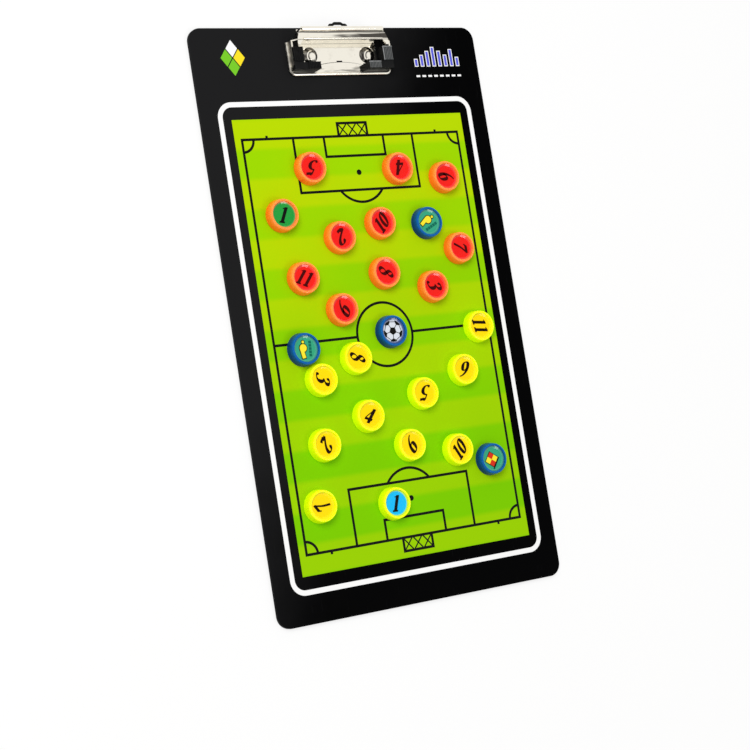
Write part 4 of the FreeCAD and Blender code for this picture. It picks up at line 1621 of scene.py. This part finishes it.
@dataclass
class Clip(Assembly):
    """The chromed clip: dressed solids, ribbed rubber grips and wound springs."""

    rib_pitch: float = 1.1
    rib_height: float = 0.45
    rib_steps: int = 8
    rib_power: int = 3
    corner_drop: float = 0.9
    leg_front: float = 152.6
    leg_rear: float = 161.2
    leg_inner: float = 28.0
    arm_rear: float = 152.0
    arm_outer: float = 25.4
    wall_gap: float = 0.05
    lip_width: float = 0.55
    lip_drop: float = 0.05
    grip_sharp: float = 50.0
    spring_wire: float = 0.5
    spring_mean: float = 2.2
    spring_pitch: float = 1.6
    spring_turns: int = 6
    spring_steps: int = 28
    spring_sides: int = 12
    spring_inner_end: float = 9.5
    base_leg_reach: Point = (3.6, 3.78)
    lever_leg_reach: Point = (2.8, 2.68)

    @cached_property
    def middle(self) -> Point:
        """Give the middle between the rivets, across and along the board."""
        low, high = box_mm("clip_rivets")
        return (low.x + high.x) / 2, (low.y + high.y) / 2

    def build(self) -> list[str]:
        """Dress the solids and make the grips and springs.

        Returns:
            The pieces' names.
        """
        finishes = {
            "clip_base": CHROME,
            "clip_rivets": RivetPlating("rivet_plating", middle=self.middle),
            "clip_lever": LeverPlating("lever_plating", middle_x=self.middle[0]),
            "rivet_washers": SHEET_STEEL,
            "hinge_rod": ROD_STEEL,
            "hanging_loop": LOOP_COAT,
        }
        made = [dress(node, finish) for node, finish in finishes.items()]
        crest = box_mm("grip_right")[1].z
        # the right grip's ribs take a painted reflection, paler along their crests
        bloom = Rubber("grip_crest_sheen_finish", (0.012, 0.013, 0.013), (0.13, 0.135, 0.137), 0.55, 0.3, crest)
        # the right grip's lips take the painted highlight finish
        made += [self._grip("right", 1, bloom, LIP_HIGHLIGHT_RUBBER), self._spring("right", 1)]
        made += [self._grip("left", -1, GRIP_RUBBER, GRIP_RUBBER), self._spring("left", -1)]
        return made

    def _across(self, points: Iterable[Point], side: int) -> list[Point]:
        """Move points that are given from the clip's middle to the right or left of it."""
        return [(self.middle[0] + side * x, y) for x, y in points]

    def _ribs(self, start: float, end: float, top: float) -> list[Point]:
        """Give the ribbed top of a block, from its end back to its start.

        Args:
            start: where the block starts.
            end: where the block ends.
            top: height of the ribs.

        Returns:
            Places and heights along the top.
        """
        count = max(1, round(abs(end - start) / self.rib_pitch))
        steps = count * self.rib_steps
        line = []
        for step in range(steps + 1):
            share = 1 - step / steps
            dip = abs(math.cos(math.pi * count * share)) ** self.rib_power * self.rib_height
            line.append((start + (end - start) * share, top - dip))
        return line

    def _grip(self, name: str, side: int, top: Finish, edge: Finish) -> str:
        """Make one L-shaped grip: a ribbed leg, a ribbed arm, thin lips on both and a plain lower corner.

        Args:
            name: right or left.
            side: 1 for the right grip and -1 for the left one.
            top: finish of the ribbed tops.
            edge: finish of the lips along the tops' inner edges.

        Returns:
            The piece's name.
        """
        node = f"grip_{name}"
        low, high = box_mm(node)
        inner, outer = sorted(abs(x - self.middle[0]) for x in (low.x, high.x))
        outer -= self.wall_gap
        leg, arm, wide = self.leg_inner, self.arm_outer, self.lip_width
        mould = Mould()
        for near, front, far, rear in (
            (leg, self.leg_front, outer, self.leg_rear),
            (inner, low.y, arm, self.arm_rear),
        ):
            section = [(near, low.z), (far, low.z), *self._ribs(near, far, high.z)]
            self._block(mould, self._across(section, side), front, rear)
        corner = [
            (arm, low.y),
            (outer, low.y),
            (outer, self.leg_front),
            (leg, self.leg_front),
            (leg, self.arm_rear),
            (arm, self.arm_rear),
        ]
        mould.prism(self._across(corner, side), Layer(low.z, high.z - self.corner_drop, SIDE_SLOT))
        for lip in (
            (leg, self.leg_front, leg + wide, self.leg_rear - wide),
            (leg, self.leg_rear - wide, outer, self.leg_rear),
            (inner, self.arm_rear - wide, arm, self.arm_rear),
        ):
            layer = Layer(high.z - self.rib_height, high.z - self.lip_drop, LIP_SLOT)
            mould.prism(self._across(rectangle(*lip), side), layer)
        bmesh.ops.recalc_face_normals(mould.mesh, faces=mould.mesh.faces)
        piece = mould.cast(node + "_rubber", [top, GRIP_RUBBER, edge], self.grip_sharp)
        return settle(piece, "clip_jaw", "grip_rubber", node)

    @staticmethod
    def _block(mould: Mould, section: Sequence[Point], front: float, rear: float) -> None:
        """Add a block that carries a section along Y.

        Args:
            mould: where the faces go.
            section: closed section as places and heights: two corners of the underside, then the top.
            front: where the block starts.
            rear: where the block ends.
        """
        first, last = (mould.ring((x, at, z) for x, z in section) for at in (front, rear))
        mould.join(first[2:], last[2:], RIB_SLOT, False)
        mould.join([first[-1], *first[:3]], [last[-1], *last[:3]], SIDE_SLOT, False)
        mould.face(first[::-1], SIDE_SLOT)
        mould.face(last, SIDE_SLOT)

    def _leg(self, reach: Point) -> tuple[float, float]:
        """Work out a spring's leg, which leaves the coil on a tangent towards a point.

        Args:
            reach: the point's distance along Y and Z from the rod.

        Returns:
            The angle at which the leg leaves the coil, from +Y towards +Z in radians, and its length.
        """
        far = math.hypot(*reach)
        angle = math.atan2(reach[1], reach[0]) - math.acos(self.spring_mean / far)
        return angle, math.sqrt(far ** 2 - self.spring_mean ** 2)

    def _spring(self, name: str, side: int) -> str:
        """Wind one torsion spring with its two legs, one reaching towards the base and one towards the lever.

        Args:
            name: right or left.
            side: 1 for the right spring and -1 for the left one.

        Returns:
            The piece's name.
        """
        low, high = box_mm("hinge_rod")
        rod_y, rod_z = (low.y + high.y) / 2, (low.z + high.z) / 2
        base_angle, base_leg = self._leg(self.base_leg_reach)
        lever_angle, lever_leg = self._leg(self.lever_leg_reach)
        first, last = -base_angle, lever_angle + 2 * math.pi * self.spring_turns
        steps = self.spring_steps * self.spring_turns
        lead = self.spring_pitch / (2 * math.pi)
        inner = self.spring_inner_end + self.spring_wire
        coil = []
        for step in range(steps + 1):
            angle = first + (last - first) * step / steps
            x = self.middle[0] + side * (inner + lead * (last - angle))
            y, z = self.spring_mean * math.cos(angle), self.spring_mean * math.sin(angle)
            coil.append(Vector((x, rod_y + y, rod_z + z)))
        start_way = (coil[1] - coil[0]).normalized()
        end_way = (coil[-1] - coil[-2]).normalized()
        path = [coil[0] - start_way * base_leg, *coil, coil[-1] + end_way * lever_leg]
        mould = Mould()
        mould.tube(path, self.spring_wire, self.spring_sides)
        node = f"spring_{name}"
        piece = mould.cast(node + "_wire", [SPRING_STEEL])
        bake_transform(piece)
        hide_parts(node)
        return piece.name


@dataclass
class Studio(Assembly):
    """Pale floor, soft light and the camera of the photograph."""

    floor_half: float = 6.0
    floor_colour: Colour = (0.9, 0.9, 0.9)
    floor_matt: float = 0.9
    white: Colour = (1.0, 1.0, 1.0)
    white_share: float = 0.75
    sky_colour: Colour = (1.0, 0.99, 0.97)
    sky_strength: float = 0.55
    eye: Triple = (-556.2, -100.9, 899.7)
    target: Triple = (-11.5, -37.4, 3.0)
    roll_degrees: float = 75.25
    lens: float = 84.71
    sensor: float = 36.0
    key_place: Triple = (-900.0, 700.0, 1500.0)
    key_size: float = 1100.0
    key_power: float = 22.0
    fill_place: Triple = (693.0, -687.0, 1514.0)
    fill_size: float = 600.0
    fill_power: float = 4.6

    def build(self) -> list[str]:
        """Make the floor, the world, the two lamps and the camera.

        Returns:
            Their names.
        """
        backdrop = [self._floor(), self._world()]
        key = self._lamp("key_softbox", self.key_place, self.key_size, self.key_power)
        key.visible_glossy = False
        fill = self._lamp("fill_softbox", self.fill_place, self.fill_size, self.fill_power)
        bpy.context.scene.view_settings.view_transform = "Standard"
        return [*backdrop, key.name, fill.name, self._camera()]

    @staticmethod
    def _seen(graph: Graph) -> Signal:
        """Find the rays that show the background to the camera, also by way of metal or glass.

        Args:
            graph: the node tree of the floor or the world.

        Returns:
            1 for such rays and 0 for others.
        """
        rays = ("Is Camera Ray", "Is Glossy Ray", "Is Transmission Ray")
        camera, glossy, through = (graph.add("ShaderNodeLightPath", output=ray) for ray in rays)
        return (camera + glossy + through).capped()

    def _floor(self) -> str:
        """Lay the pale floor under the board.

        Returns:
            The floor's name.
        """
        data = bpy.data.meshes.new("studio_floor")
        half = self.floor_half
        corners = [(x, y, 0.0) for x, y in rectangle(-half, -half, half, half)]
        data.from_pydata(corners, [], [range(len(corners))])
        floor = bpy.data.objects.new("studio_floor", data)
        bpy.context.scene.collection.objects.link(floor)
        paper = bpy.data.materials.new("studio_paper")
        paper.use_nodes = True
        graph = Graph(paper.node_tree)
        seen = self._seen(graph) * self.white_share
        inputs = {"Base Color": self.floor_colour, "Roughness": self.floor_matt}
        matt = graph.add("ShaderNodeBsdfPrincipled", None, inputs)
        white = graph.add("ShaderNodeEmission", None, {"Color": self.white, "Strength": 1.0})
        mixed = graph.add("ShaderNodeMixShader", None, {0: seen, 1: matt, 2: white})
        graph.add("ShaderNodeOutputMaterial", None, {"Surface": mixed})
        data.materials.append(paper)
        return floor.name

    def _world(self) -> str:
        """Light the studio evenly from all round.

        Returns:
            The world's name.
        """
        world = bpy.data.worlds.new("studio_sky")
        world.use_nodes = True
        graph = Graph(world.node_tree)
        seen = self._seen(graph)
        inputs = {"Color": self.sky_colour, "Strength": self.sky_strength}
        sky = graph.add("ShaderNodeBackground", None, inputs)
        white = graph.add("ShaderNodeBackground", None, {"Color": self.white, "Strength": 1.0})
        mixed = graph.add("ShaderNodeMixShader", None, {0: seen, 1: sky, 2: white})
        graph.add("ShaderNodeOutputWorld", None, {"Surface": mixed})
        bpy.context.scene.world = world
        return world.name

    @staticmethod
    def _lamp(name: str, place: Triple, size: float, power: float) -> bpy.types.Object:
        """Hang one round soft lamp that points at the board.

        Args:
            name: name of the lamp.
            place: where it hangs, in millimetres.
            size: its diameter in millimetres.
            power: its power in watts.

        Returns:
            The lamp.
        """
        data = bpy.data.lights.new(name, "AREA")
        data.shape = "DISK"
        data.size = size * MM
        data.energy = power
        lamp = bpy.data.objects.new(name, data)
        lamp.location = Vector(place) * MM
        lamp.rotation_euler = (-Vector(place)).to_track_quat("-Z", "Y").to_euler()
        bpy.context.scene.collection.objects.link(lamp)
        return lamp

    def _camera(self) -> str:
        """Stand the camera where the photograph was taken.

        Returns:
            The camera's name.
        """
        data = bpy.data.cameras.new("photo_camera")
        data.lens = self.lens
        data.sensor_width = self.sensor
        camera = bpy.data.objects.new("photo_camera", data)
        eye, target = Vector(self.eye), Vector(self.target)
        roll = Quaternion((0.0, 0.0, 1.0), math.radians(self.roll_degrees))
        camera.rotation_euler = ((target - eye).to_track_quat("-Z", "Y") @ roll).to_euler()
        camera.location = eye * MM
        bpy.context.scene.collection.objects.link(camera)
        bpy.context.scene.camera = camera
        return camera.name


def main() -> None:
    """Build the studio, the board, the clip and the counters in order, and report each piece."""
    logging.basicConfig(level=logging.INFO, format="%(name)s: %(message)s")
    for assembly in (Studio(), Board(), Clip(), *all_counters()):
        for piece in assembly.build():
            LOG.info("%s: %s is in place", type(assembly).__name__, piece)


if __name__ == "__main__":
    main()
